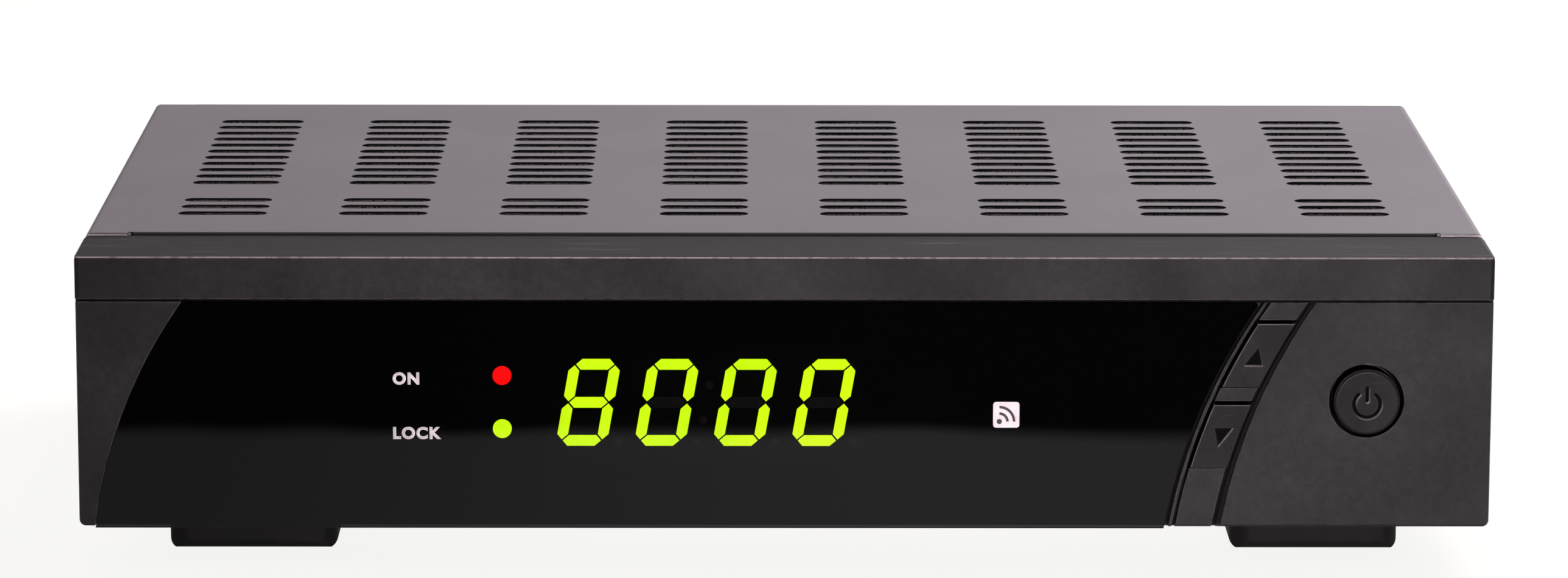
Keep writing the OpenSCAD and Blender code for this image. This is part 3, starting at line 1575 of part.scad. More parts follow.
module fuse() {
    cap_l = 5;
    back = 22;
    x0 = (supply_x0 + supply_x1 - fuse_l) / 2;
    y = board_y1 - back;
    z = board_z1 + fuse_r;
    color("#c9c9c2") in_frame() {
        rod_x(y, z, fuse_r - 0.3, x0, x0 + fuse_l);
        rod_x(y, z, fuse_r, x0, x0 + cap_l);
        rod_x(y, z, fuse_r, x0 + fuse_l - cap_l, x0 + fuse_l);
    }
}

plate_t = 2;
plate_h = 22;
plate_margin = 1.5;
plate_in = 6;
plate_y = supply_y0 + plate_in;

module supply_heatsink() {
    fins = 6;
    fin_t = 1;
    fin_l = 4;
    fin_up = 4;
    x0 = supply_x0 + plate_margin;
    x1 = supply_x1 - plate_margin;
    color("#9a9da0") in_frame() {
        block([x0, x1], [plate_y, plate_y + plate_t], [board_z1, board_z1 + plate_h]);
        for (k = [0:fins - 1]) translate([x0 + k * (x1 - x0 - fin_t) / (fins - 1), 0, 0])
            block([0, fin_t], [plate_y - fin_l, plate_y + eps], [board_z1 + fin_up, board_z1 + plate_h]);
    }
}

module power_transistor() {
    case_w = 10;
    case_h = 9;
    case_t = 4.4;
    tab_t = 1.3;
    tab_h = 6.5;
    lead_pitch = 2.54;
    lead_w = 0.8;
    lead_y = 2;
    lead_l = 6;
    y0 = plate_y + plate_t;
    z = board_z1 + lead_l;
    color("#1b1b1d") in_frame() translate([(supply_x0 + supply_x1) / 2, y0, 0]) {
        block([-case_w / 2, case_w / 2], [0, case_t], [z, z + case_h]);
        difference() {
            block([-case_w / 2, case_w / 2], [0, tab_t], [z + case_h - eps, z + case_h + tab_h]);
            rod_y(0, z + case_h + tab_h / 2, 1.8, -eps, tab_t + eps);
        }
        for (k = [-1:1]) block(
            [k * lead_pitch - lead_w / 2, k * lead_pitch + lead_w / 2], [lead_y, lead_y + lead_w],
            [board_z1, z + eps]
        );
    }
}

// Wires that arch from the supply board to the main board
module supply_harness() {
    wires = 5;
    wire_r = 0.7;
    pitch = 2;
    plug_w = 4.5;
    plug_h = 6;
    plug_edge = 1;
    plug_in = 10.2;
    x0 = supply_x1 - plug_w / 2 - plug_edge;
    x1 = main_left + plug_w / 2 + plug_edge;
    y0 = main_y0 + plug_in;
    arch_r = (x1 - x0) / 2;
    color("#a83a34") in_frame() {
        for (x = [x0, x1]) block([x - plug_w / 2, x + plug_w / 2], [y0 - pitch, y0 + pitch * wires],
            [board_z1, board_z1 + plug_h]);
        for (k = [0:wires - 1]) translate([x0 + arch_r, y0 + k * pitch, board_z1 + plug_h - eps])
            rotate([90, 0, 0]) rotate_extrude(angle = 180) translate([arch_r, 0]) circle(wire_r);
    }
}

front_bezel();
display_window();
power_button();
channel_up_key();
channel_down_key();
power_plunger();
channel_up_plunger();
channel_down_plunger();
tact_switches();
front_pcb();
front_pcb_screws();
display_module();
lit_segments();
dark_segments();
led_holder();
power_led();
signal_led();
ir_receiver();
ribbon_headers();
ribbon_cable();
top_cover();
chassis_pan();
foot_front_left();
foot_front_right();
foot_rear_left();
foot_rear_right();
foot_screws();
cover_screws();
main_pcb();
pcb_screws();
main_processor();
processor_heatsink();
memory_chips();
electrolytic_capacitors();
tuner_can();
lnb_in_connector();
lnb_out_connector();
connector_nuts();
scart_socket();
scart_contacts();
rca_block();
rca_shells();
rca_insert_yellow();
rca_insert_white();
rca_insert_red();
serial_shell();
serial_insert();
serial_jackscrews();
supply_pcb();
mains_inlet();
inlet_pins();
transformer_core();
transformer_winding();
bulk_capacitor();
supply_heatsink();
power_transistor();
line_choke();
fuse();
supply_harness();
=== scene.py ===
"""Looks of the satellite receiver: finishes, printed marks, threaded sockets, studio and camera."""
import json
import math

import bpy
from mathutils import Matrix, Vector


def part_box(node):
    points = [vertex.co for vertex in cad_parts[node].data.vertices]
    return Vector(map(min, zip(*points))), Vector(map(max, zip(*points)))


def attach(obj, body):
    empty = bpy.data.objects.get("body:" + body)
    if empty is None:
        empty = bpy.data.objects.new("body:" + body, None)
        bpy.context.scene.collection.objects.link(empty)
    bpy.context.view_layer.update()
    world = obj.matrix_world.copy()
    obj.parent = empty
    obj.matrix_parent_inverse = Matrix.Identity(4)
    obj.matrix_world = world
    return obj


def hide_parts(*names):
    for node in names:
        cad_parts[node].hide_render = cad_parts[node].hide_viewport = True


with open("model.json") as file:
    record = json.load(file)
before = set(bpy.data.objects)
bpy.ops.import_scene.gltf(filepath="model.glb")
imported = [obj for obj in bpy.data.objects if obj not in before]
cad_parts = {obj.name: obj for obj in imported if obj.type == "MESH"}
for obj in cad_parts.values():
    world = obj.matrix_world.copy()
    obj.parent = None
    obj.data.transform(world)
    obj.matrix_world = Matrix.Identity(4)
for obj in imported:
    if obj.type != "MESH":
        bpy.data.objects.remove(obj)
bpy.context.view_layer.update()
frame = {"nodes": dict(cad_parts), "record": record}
nodes = frame["nodes"]

MM = 0.001

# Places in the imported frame, in millimetres
PANEL_Y = -74.85
FOOT_H = 7.8
FRONT_H = 43.8
FRONT_TOP = FOOT_H + FRONT_H
SIDE_X = 112.2
BAND_BASE = FOOT_H + 37.0
BAND_ROUNDING = BAND_BASE + 5
KEY_PROUD = 1.3
LAMP_FACE = 2.1
COVER_TOP = FRONT_TOP + 0.84
COVER_SHEET = 0.6
COVER_FRONT = PANEL_Y + 15.5
COVER_FOLD = COVER_FRONT + 1.3
NOTCH_X = 105.1
SLOTS_X = 104.0
SLOTS_FROM_Y, SLOTS_TO_Y = -50.0, 62.0

EVERYWHERE = 1000.0
BEVEL_SAMPLES = 6
ACRYLIC_IOR = 1.49


# ---- Node helpers ----

def put(tree, kind, sockets=None, **settings):
    """A shader node with its settings, and each named socket given a value or linked to an output."""
    node = tree.nodes.new("ShaderNode" + kind)
    for name, value in settings.items():
        setattr(node, name, value)
    for name, value in (sockets or {}).items():
        feed(tree, node.inputs[name], value)
    return node


def feed(tree, socket, value):
    """Links an output, or a node's first output, to a socket, or gives the socket a plain value."""
    if isinstance(value, bpy.types.NodeSocket):
        tree.links.new(value, socket)
    elif isinstance(value, bpy.types.Node):
        tree.links.new(value.outputs[0], socket)
    else:
        socket.default_value = value


def calc(tree, operation, a, b=0.0, c=0.0, clamp=False):
    node = put(tree, "Math", {0: a, 1: b}, operation=operation, use_clamp=clamp)
    if operation == "MULTIPLY_ADD":
        feed(tree, node.inputs[2], c)
    return node.outputs[0]


def product(tree, first, *others):
    for other in others:
        first = calc(tree, "MULTIPLY", first, other)
    return first


def below(tree, value, limit):
    return calc(tree, "LESS_THAN", value, limit)


def above(tree, value, limit):
    return calc(tree, "GREATER_THAN", value, limit)


def greater(tree, a, b):
    return calc(tree, "MAXIMUM", a, b)


def span(tree, value, low, high, out_low=0.0, out_high=1.0, smooth=True):
    """value between low and high, brought to the range from out_low to out_high."""
    ends = {"Value": value, "From Min": low, "From Max": high, "To Min": out_low, "To Max": out_high}
    return put(tree, "MapRange", ends, clamp=True,
               interpolation_type="SMOOTHSTEP" if smooth else "LINEAR").outputs[0]


def rgba(colour):
    return (*colour, 1.0)


def blend_colour(tree, factor, a, b, mode="MIX"):
    node = put(tree, "Mix", {}, data_type="RGBA", blend_type=mode, clamp_factor=True)
    feed(tree, node.inputs["Factor"], factor)
    feed(tree, node.inputs[6], rgba(a) if isinstance(a, tuple) else a)
    feed(tree, node.inputs[7], rgba(b) if isinstance(b, tuple) else b)
    return node.outputs[2]


def shaded(tree, colour, shade):
    """A colour multiplied by a shade around 1."""
    return blend_colour(tree, 1.0, colour, shade, "MULTIPLY")


def object_place(tree):
    return put(tree, "TexCoord").outputs["Object"]


def true_normal(tree):
    return put(tree, "NewGeometry").outputs["True Normal"]


def split(tree, vector):
    return put(tree, "SeparateXYZ", {"Vector": vector})


def noise(tree, scale, detail, rough=0.5, distortion=0.0, at=None):
    """Soft noise over the object, or over the place given."""
    return put(tree, "TexNoise", {
        "Vector": object_place(tree) if at is None else at,
        "Scale": scale, "Detail": detail, "Roughness": rough, "Distortion": distortion}).outputs["Fac"]


def start_group(name, inputs, outputs):
    """A shader node group with float inputs and outputs: its tree, and its input and output nodes."""
    tree = bpy.data.node_groups.new(name, "ShaderNodeTree")
    for label, default in inputs:
        socket = tree.interface.new_socket(label, in_out="INPUT", socket_type="NodeSocketFloat")
        socket.default_value = default
    for label in outputs:
        tree.interface.new_socket(label, in_out="OUTPUT", socket_type="NodeSocketFloat")
    return tree, tree.nodes.new("NodeGroupInput"), tree.nodes.new("NodeGroupOutput")


def per(tree, enter, label):
    """One divided by a group's input: the scale of a pattern whose size is given in metres."""
    return calc(tree, "DIVIDE", 1.0, enter.outputs[label])


def place(tree, group, **values):
    """A group put into a material with its own values; underscores in the names stand for spaces."""
    node = tree.nodes.new("ShaderNodeGroup")
    node.node_tree = group
    for name, value in values.items():
        feed(tree, node.inputs[name.replace("_", " ").capitalize()], value)
    return node


# ---- Shared effects ----

def grain_effect():
    """Spark-eroded or powder-coat grain: small rounded cells over fine noise, and sparse specks."""
    tree, enter, leave = start_group("surface_grain", [("Cell", 0.0004)], ["Height", "Speck"])
    scale = per(tree, enter, "Cell")
    fine = noise(tree, scale, 2.0, 0.6)
    cells = put(tree, "TexVoronoi", {"Vector": object_place(tree), "Scale": scale}, feature="SMOOTH_F1")
    feed(tree, leave.inputs["Height"], calc(tree, "MULTIPLY_ADD", cells.outputs["Distance"], 0.8, fine))
    dots = noise(tree, calc(tree, "MULTIPLY", scale, 0.3), 4.0, 0.75)
    feed(tree, leave.inputs["Speck"], span(tree, dots, 0.64, 0.74))
    return tree


def clouds_effect():
    """Soft handling marks: a shade around 1, and the same marks as a mask."""
    inputs = [("Size", 0.02), ("Contrast", 0.1)]
    tree, enter, leave = start_group("handling_clouds", inputs, ["Shade", "Mask"])
    mask = span(tree, noise(tree, per(tree, enter, "Size"), 6.0, 0.62, 0.5), 0.32, 0.68)
    swing = calc(tree, "SUBTRACT", mask, 0.5)
    full_contrast = calc(tree, "MULTIPLY", enter.outputs["Contrast"], 2.0)
    feed(tree, leave.inputs["Shade"], calc(tree, "MULTIPLY_ADD", swing, full_contrast, 1.0))
    feed(tree, leave.inputs["Mask"], mask)
    return tree


def edge_effect():
    """Where an edge is rubbed, and where it takes a painted highlight: how far the rounded normal leaves
    the flat one, broken into nicks.
    """
    tree, enter, leave = start_group("edge_wear_and_highlight", [("Reach", 0.0003), ("Nick", 0.003)], ["Mask", "Raw"])
    rounded = put(tree, "Bevel", {"Radius": enter.outputs["Reach"]}, samples=BEVEL_SAMPLES)
    flat = put(tree, "NewGeometry")
    likeness = put(tree, "VectorMath", {0: rounded.outputs["Normal"], 1: flat.outputs["Normal"]},
                   operation="DOT_PRODUCT").outputs["Value"]
    raw = span(tree, likeness, 0.995, 0.86)
    nicks = span(tree, noise(tree, per(tree, enter, "Nick"), 5.0, 0.7), 0.34, 0.54)
    feed(tree, leave.inputs["Mask"], product(tree, raw, nicks))
    feed(tree, leave.inputs["Raw"], raw)
    return tree


def scratch_effect():
    """Hair scratches: thin level lines of a stretched noise, cut into short lengths."""
    tree, enter, leave = start_group("hair_scratches", [("Spacing", 0.004), ("Width", 0.01)], ["Mask"])
    scale = per(tree, enter, "Spacing")
    total = 0.0
    for turn, stretch in ((0.5, 0.12), (-0.9, 0.2)):
        lines = put(tree, "Mapping", {
            "Vector": object_place(tree), "Rotation": (0.2, turn, 0.3), "Scale": (stretch, 1.0, 1.0)})
        field = noise(tree, scale, 1.0, 0.4, 0.3, at=lines)
        level = calc(tree, "ABSOLUTE", calc(tree, "SUBTRACT", field, 0.5))
        thin = calc(tree, "SUBTRACT", 1.0, calc(tree, "DIVIDE", level, enter.outputs["Width"]), clamp=True)
        total = calc(tree, "ADD", thin, total, clamp=True)
    lengths = span(tree, noise(tree, calc(tree, "MULTIPLY", scale, 0.8), 2.0), 0.52, 0.6)
    feed(tree, leave.inputs["Mask"], product(tree, total, lengths))
    return tree


def spangle_effect():
    """Zinc crystals: flat cells of slightly different brightness."""
    tree, enter, leave = start_group("zinc_spangle", [("Size", 0.006)], ["Shade", "Tone"])
    scale = per(tree, enter, "Size")
    warp = noise(tree, calc(tree, "MULTIPLY", scale, 1.5), 3.0)
    bent = put(tree, "VectorMath", {
        0: object_place(tree), 1: calc(tree, "MULTIPLY", warp, enter.outputs["Size"])}, operation="ADD")
    cells = put(tree, "TexVoronoi", {"Vector": bent, "Scale": scale}, feature="F1")
    tone = put(tree, "SeparateColor", {"Color": cells.outputs["Color"]})
    feed(tree, leave.inputs["Shade"], span(tree, tone.outputs[0], 0.0, 1.0, 0.86, 1.08, smooth=False))
    feed(tree, leave.inputs["Tone"], tone.outputs[1])
    return tree


def punched_effect():
    """The cut walls of the slots: rolled paint above, darkened as painted shade, torn bare steel below,
    outside them nothing.
    """
    tree, enter, leave = start_group("punched_walls", [("Top", 0.05), ("Sheet", 0.0006)], ["Bare", "Dark"])
    upright = below(tree, calc(tree, "ABSOLUTE", split(tree, true_normal(tree)).outputs["Z"]), 0.3)
    point = split(tree, object_place(tree)).outputs
    wall = product(tree, upright,
                   below(tree, calc(tree, "ABSOLUTE", point["X"]), SLOTS_X * MM),
                   above(tree, point["Y"], SLOTS_FROM_Y * MM),
                   below(tree, point["Y"], SLOTS_TO_Y * MM))
    below_top = calc(tree, "SUBTRACT", enter.outputs["Top"], point["Z"])
    depth = calc(tree, "DIVIDE", below_top, enter.outputs["Sheet"])
    level = calc(tree, "MULTIPLY_ADD", noise(tree, 900.0, 3.0, 0.7), 0.5, depth)
    runs = calc(tree, "SUBTRACT", noise(tree, 110.0, 3.0, 0.65), 0.5)
    level = calc(tree, "MULTIPLY_ADD", runs, 0.7, level)
    pits = span(tree, noise(tree, 2600.0, 2.0), 0.36, 0.46)
    bare = product(tree, wall, span(tree, level, 0.84, 0.92), pits)
    feed(tree, leave.inputs["Bare"], bare)
    feed(tree, leave.inputs["Dark"], calc(tree, "SUBTRACT", wall, bare, clamp=True))
    return tree


def facing_effect():
    """Where a point lies and which way its face looks, for marks that belong to one edge or recess."""
    labels = ["Aside", "Back", "Up", "Normal y", "Normal z"]
    tree, enter, leave = start_group("facing", [("Unit", 0.001)], labels)
    point = split(tree, object_place(tree)).outputs
    normal = split(tree, true_normal(tree)).outputs
    places = {"Aside": calc(tree, "ABSOLUTE", point["X"]), "Back": point["Y"], "Up": point["Z"]}
    for label, value in places.items():
        feed(tree, leave.inputs[label], calc(tree, "DIVIDE", value, enter.outputs["Unit"]))
    feed(tree, leave.inputs["Normal y"], normal["Y"])
    feed(tree, leave.inputs["Normal z"], normal["Z"])
    return tree


def wipe_effect():
    """Long faint marks of a cloth drawn from side to side."""
    tree, enter, leave = start_group("wipe_marks", [("Size", 0.002)], ["Mask"])
    lines = put(tree, "Mapping", {
        "Vector": object_place(tree), "Scale": (0.06, 1.0, 1.0), "Rotation": (0.0, 0.0, 0.03)})
    strokes = span(tree, noise(tree, per(tree, enter, "Size"), 5.0, 0.7, 0.4, at=lines), 0.5, 0.68)
    patches = span(tree, noise(tree, 40.0, 3.0), 0.45, 0.62)
    feed(tree, leave.inputs["Mask"], product(tree, strokes, patches))
    return tree


def tracks_effect():
    """Copper tracks and solder pads under the board's lacquer."""
    tree, enter, leave = start_group("board_tracks", [("Pitch", 0.0025)], ["Track", "Pad"])
    scale = per(tree, enter, "Pitch")
    total = 0.0
    for axis in ((1.0, 0.18, 1.0), (0.18, 1.0, 1.0)):
        run = put(tree, "Mapping", {"Vector": object_place(tree), "Scale": axis})
        cells = put(tree, "TexVoronoi", {"Vector": run, "Scale": scale, "Randomness": 0.55},
                    feature="DISTANCE_TO_EDGE", distance="EUCLIDEAN")
        total = greater(tree, total, span(tree, cells.outputs["Distance"], 0.1, 0.05))
    dots = put(tree, "TexVoronoi", {
        "Vector": object_place(tree), "Scale": calc(tree, "MULTIPLY", scale, 0.8), "Randomness": 0.6},
        feature="F1")
    pad = span(tree, dots.outputs["Distance"], 0.2, 0.16)
    feed(tree, leave.inputs["Track"], calc(tree, "SUBTRACT", total, pad, clamp=True))
    feed(tree, leave.inputs["Pad"], pad)
    return tree


GRAIN = grain_effect()
CLOUDS = clouds_effect()
EDGE = edge_effect()
SCRATCHES = scratch_effect()
SPANGLE = spangle_effect()
PUNCHED = punched_effect()
TRACKS = tracks_effect()
FACING = facing_effect()
WIPES = wipe_effect()


# ---- Finishes ----

def blank(name):
    """A new material with its tree and its Principled shader."""
    material = bpy.data.materials.new(name)
    material.use_nodes = True
    tree = material.node_tree
    shader = next(n for n in tree.nodes if n.type == "BSDF_PRINCIPLED")
    return material, tree, shader


def roughen(tree, shader, height, depth, radius=0.0002):
    """A bump of depth metres over edges rounded to radius."""
    soft = put(tree, "Bevel", {"Radius": radius}, samples=BEVEL_SAMPLES)
    bump = put(tree, "Bump", {
        "Strength": 1.0, "Distance": depth, "Height": height, "Normal": soft.outputs["Normal"]})
    feed(tree, shader.inputs["Normal"], bump.outputs["Normal"])


def coated(name, colour, rough, metal=0.0, specular=0.5, cell=0.0003, depth=0.00002, cloud=0.02,
           contrast=0.08, reach=0.0003, rub=0.25, rub_colour=None, coat=0.0, radius=0.0002):
    """The common finish: coloured, grained, clouded by handling and rubbed at its edges."""
    material, tree, shader = blank(name)
    grain = place(tree, GRAIN, cell=cell)
    clouds = place(tree, CLOUDS, size=cloud, contrast=contrast)
    edge = place(tree, EDGE, reach=reach, nick=0.002)
    base = shaded(tree, colour, clouds.outputs["Shade"])
    wear = product(tree, edge.outputs["Mask"], rub)
    worn = rub_colour or tuple(min(1.0, c * 4 + 0.05) for c in colour)
    feed(tree, shader.inputs["Base Color"], blend_colour(tree, wear, base, worn))
    swing = calc(tree, "MULTIPLY_ADD", calc(tree, "SUBTRACT", clouds.outputs["Mask"], 0.5), 0.06, rough)
    polish = product(tree, edge.outputs["Raw"], 0.08)
    feed(tree, shader.inputs["Roughness"], calc(tree, "SUBTRACT", swing, polish, clamp=True))
    shader.inputs["Metallic"].default_value = metal
    shader.inputs["Specular IOR Level"].default_value = specular
    shader.inputs["Coat Weight"].default_value = coat
    shader.inputs["Coat Roughness"].default_value = 0.12
    roughen(tree, shader, grain.outputs["Height"], depth, radius)
    return material


def painted_cover():
    """Charcoal powder coat with a violet cast, the bare cut walls of its slots, and painted shade on the
    slots' upper walls and along the folded front edge.
    """
    material, tree, shader = blank("cover_paint")
    grain = place(tree, GRAIN, cell=0.0005)
    clouds = place(tree, CLOUDS, size=0.05, contrast=0.035)
    edge = place(tree, EDGE, reach=0.0003, nick=0.004)
    cut = place(tree, PUNCHED, top=COVER_TOP * MM, sheet=COVER_SHEET * MM).outputs
    base = shaded(tree, (0.068, 0.052, 0.068), clouds.outputs["Shade"])
    base = blend_colour(tree, product(tree, grain.outputs["Speck"], 0.16), base, (0.16, 0.14, 0.16))
    base = blend_colour(tree, product(tree, edge.outputs["Mask"], 0.18), base, (0.3, 0.28, 0.3))
    # The upper cut walls of the slots are painted near-black: rolled paint darkened by painted shade
    base = blend_colour(tree, cut["Dark"], base, (0.006, 0.0055, 0.006))
    base = blend_colour(tree, cut["Bare"], base, (0.5, 0.435, 0.445))
    # The sheet's folded front edge is painted near-black as painted shade, and outboard of its notches the
    # sheet shows its cut edge
    spot = place(tree, FACING).outputs
    outboard = above(tree, spot["Aside"], NOTCH_X)
    inboard = calc(tree, "SUBTRACT", 1.0, outboard)
    fold_painted_shade = product(tree, span(tree, spot["Normal y"], -0.1, -0.35),
                   below(tree, spot["Back"], COVER_FOLD), inboard)
    cut_edge = product(tree, outboard, below(tree, spot["Up"], COVER_TOP - 0.2),
                       span(tree, spot["Normal y"], -0.8, -0.95))
    base = blend_colour(tree, fold_painted_shade, base, (0.004, 0.0035, 0.004))
    base = blend_colour(tree, cut_edge, base, (0.6, 0.5, 0.53))
    feed(tree, shader.inputs["Base Color"], base)
    feed(tree, shader.inputs["Metallic"], product(tree, cut["Bare"], 0.35))
    rough = calc(tree, "MULTIPLY_ADD", clouds.outputs["Mask"], 0.03, 0.36)
    painted_shade_mask = greater(tree, cut["Dark"], fold_painted_shade)
    feed(tree, shader.inputs["Roughness"], greater(tree, rough, product(tree, painted_shade_mask, 0.8)))
    shader.inputs["Specular IOR Level"].default_value = 0.5
    roughen(tree, shader, grain.outputs["Height"], 0.000012)
    return material


def shaded_recess(tree, base, spot, start, depth):
    """The base colour going black as painted shade where a recess is deeper than start, in millimetres
    behind the panels.
    """
    mask = product(tree, span(tree, spot["Back"], PANEL_Y + start, PANEL_Y + start + depth),
                   below(tree, spot["Aside"], SIDE_X),
                   below(tree, spot["Up"], BAND_BASE + 0.02),
                   above(tree, spot["Up"], FOOT_H + 0.3))
    return blend_colour(tree, mask, base, (0.0025, 0.0022, 0.0024)), mask


def moulded_front():
    """Black moulded plastic: fine grain, palm marks, a wiped top darkened by painted shade, grooves in
    painted shade, nicked and rubbed edges partly lightened as painted highlight, and a painted highlight
    along the band's upper edge.
    """
    material, tree, shader = blank("front_moulding")
    grain = place(tree, GRAIN, cell=0.00022)
    clouds = place(tree, CLOUDS, size=0.022, contrast=0.16)
    fine = place(tree, CLOUDS, size=0.0016, contrast=0.26)
    edge = place(tree, EDGE, reach=0.00028, nick=0.0016)
    spot = place(tree, FACING).outputs
    base = shaded(tree, (0.0155, 0.0132, 0.014), clouds.outputs["Shade"])
    base = shaded(tree, base, fine.outputs["Shade"])
    base = blend_colour(tree, product(tree, grain.outputs["Speck"], 0.16), base, (0.12, 0.11, 0.12))
    # Faces that look up are darkened in colour: painted shade on the top strip
    upward = above(tree, spot["Normal z"], 0.8)
    base = blend_colour(tree, product(tree, upward, 0.25), base, (0.004, 0.0034, 0.0036))
    wipes = product(tree, place(tree, WIPES, size=0.0016).outputs["Mask"], upward, 0.3)
    base = blend_colour(tree, wipes, base, (0.16, 0.14, 0.15))
    base, painted_shade_mask = shaded_recess(tree, base, spot, 0.1, 0.42)
    open_part = calc(tree, "SUBTRACT", 1.0, painted_shade_mask, clamp=True)
    # Edges are lightened outside the recesses: partly rubbed wear, partly a painted highlight on the groove
    # lips
    base = blend_colour(tree, product(tree, edge.outputs["Mask"], open_part, 0.36), base, (0.36, 0.3, 0.32))
    # The rounded upper edge of the band gets a painted highlight, broken by fine marks
    ridge_painted_highlight = product(tree, span(tree, spot["Normal z"], 0.4, 0.6), span(tree, spot["Normal y"], -0.2, -0.35),
                    span(tree, fine.outputs["Mask"], 0.0, 0.6, 0.4, 0.8),
                    above(tree, spot["Up"], BAND_ROUNDING))
    feed(tree, shader.inputs["Base Color"], blend_colour(tree, ridge_painted_highlight, base, (0.6, 0.51, 0.54)))
    rough = calc(tree, "MULTIPLY_ADD", clouds.outputs["Mask"], -0.09, 0.56)
    rough = calc(tree, "MULTIPLY_ADD", edge.outputs["Raw"], -0.12, rough)
    rough = greater(tree, rough, product(tree, upward, 0.66))
    feed(tree, shader.inputs["Roughness"], greater(tree, rough, product(tree, painted_shade_mask, 0.85)))
    shader.inputs["Specular IOR Level"].default_value = 0.2
    roughen(tree, shader, grain.outputs["Height"], 0.000022, 0.00022)
    return material


def key_plastic():
    """The keys' smoother black plastic: scratched faces, sunk signs and sides in painted shade, upper edges
    with a painted highlight.
    """
    material, tree, shader = blank("key_plastic")
    grain = place(tree, GRAIN, cell=0.0002)
    clouds = place(tree, CLOUDS, size=0.006, contrast=0.14)
    edge = place(tree, EDGE, reach=0.0003, nick=0.0014)
    marks = place(tree, SCRATCHES, spacing=0.004, width=0.01)
    spot = place(tree, FACING).outputs
    base = shaded(tree, (0.0175, 0.0154, 0.0165), clouds.outputs["Shade"])
    base = blend_colour(tree, product(tree, marks.outputs["Mask"], 0.07), base, (0.22, 0.19, 0.2))
    # The keys' sides go black as painted shade
    base, painted_shade_mask = shaded_recess(tree, base, spot, -KEY_PROUD + 0.5, 0.5)
    # The signs' floors, the only faces that look forward just behind the keys' own, are painted near-black
    # as painted shade
    sign_floor_painted_shade = product(tree, below(tree, spot["Normal y"], -0.9),
                         above(tree, spot["Back"], PANEL_Y - KEY_PROUD + 0.2))
    base = blend_colour(tree, sign_floor_painted_shade, base, (0.003, 0.0026, 0.0028))
    # Light from above and from the left catches the rounded edges that face it
    rounded = put(tree, "Bevel", {"Radius": 0.0003}, samples=BEVEL_SAMPLES).outputs["Normal"]
    rounded = split(tree, rounded).outputs
    toward = calc(tree, "MULTIPLY_ADD", rounded["X"], -0.55, rounded["Z"])
    lit_edge = product(tree, edge.outputs["Raw"], span(tree, toward, 0.1, 0.6), 0.85)
    base = blend_colour(tree, lit_edge, base, (0.46, 0.4, 0.43))
    base = blend_colour(tree, product(tree, edge.outputs["Mask"], 0.14), base, (0.3, 0.26, 0.28))
    feed(tree, shader.inputs["Base Color"], base)
    rough = calc(tree, "MULTIPLY_ADD", clouds.outputs["Mask"], -0.06, 0.48)
    dull = product(tree, greater(tree, painted_shade_mask, sign_floor_painted_shade), 0.85)
    feed(tree, shader.inputs["Roughness"], greater(tree, rough, dull))
    shader.inputs["Specular IOR Level"].default_value = 0.07
    roughen(tree, shader, grain.outputs["Height"], 0.000012)
    return material


def smoked_acrylic():
    """Tinted see-through window, polished, with a slight draw in its surface."""
    material, tree, shader = blank("smoked_window")
    clouds = place(tree, CLOUDS, size=0.03, contrast=0.1)
    feed(tree, shader.inputs["Base Color"], shaded(tree, (0.045, 0.043, 0.046), clouds.outputs["Shade"]))
    shader.inputs["Transmission Weight"].default_value = 1.0
    shader.inputs["IOR"].default_value = ACRYLIC_IOR
    feed(tree, shader.inputs["Roughness"], span(tree, clouds.outputs["Mask"], 0.0, 1.0, 0.012, 0.03))
    draw = noise(tree, 32.0, 1.0, 0.4)
    bump = put(tree, "Bump", {"Strength": 1.0, "Distance": 0.00006, "Height": draw})
    feed(tree, shader.inputs["Normal"], bump.outputs["Normal"])
    return material


def glowing(name, colour, strength, body, reach=EVERYWHERE):
    """A lit plastic face: its own colour, and light up to reach millimetres behind the panels."""
    material, tree, shader = blank(name)
    clouds = place(tree, CLOUDS, size=0.004, contrast=0.04)
    feed(tree, shader.inputs["Base Color"], shaded(tree, body, clouds.outputs["Shade"]))
    feed(tree, shader.inputs["Emission Color"], shaded(tree, colour, clouds.outputs["Shade"]))
    lit = below(tree, place(tree, FACING).outputs["Back"], PANEL_Y + reach)
    feed(tree, shader.inputs["Emission Strength"], product(tree, lit, strength))
    shader.inputs["Roughness"].default_value = 0.4
    return material


def zinc(name, colour, size, rough):
    """Galvanised or tinned sheet with its crystals."""
    material, tree, shader = blank(name)
    cells = place(tree, SPANGLE, size=size)
    clouds = place(tree, CLOUDS, size=0.03, contrast=0.08)
    grain = place(tree, GRAIN, cell=0.0004)
    base = shaded(tree, colour, cells.outputs["Shade"])
    feed(tree, shader.inputs["Base Color"], shaded(tree, base, clouds.outputs["Shade"]))
    shader.inputs["Metallic"].default_value = 1.0
    feed(tree, shader.inputs["Roughness"],
         span(tree, cells.outputs["Tone"], 0.0, 1.0, rough - 0.06, rough + 0.08, smooth=False))
    roughen(tree, shader, grain.outputs["Height"], 0.00001, 0.00025)
    return material


def lacquered_board(name, colour, track, pad):
    """A circuit board: lacquer over tracks, with tinned pads."""
    material, tree, shader = blank(name)
    tracks = place(tree, TRACKS, pitch=0.0028).outputs
    clouds = place(tree, CLOUDS, size=0.02, contrast=0.06)
    base = shaded(tree, colour, clouds.outputs["Shade"])
    base = blend_colour(tree, tracks["Track"], base, track)
    feed(tree, shader.inputs["Base Color"], blend_colour(tree, tracks["Pad"], base, pad))
    feed(tree, shader.inputs["Metallic"], product(tree, tracks["Pad"], 0.9))
    feed(tree, shader.inputs["Roughness"], span(tree, clouds.outputs["Mask"], 0.0, 1.0, 0.28, 0.38))
    roughen(tree, shader, calc(tree, "ADD", tracks["Track"], tracks["Pad"]), 0.00003, 0.0001)
    return material


CHIP_BLACK = (0.014, 0.014, 0.015)
LAMP_GREEN = (0.6, 1.0, 0.006)

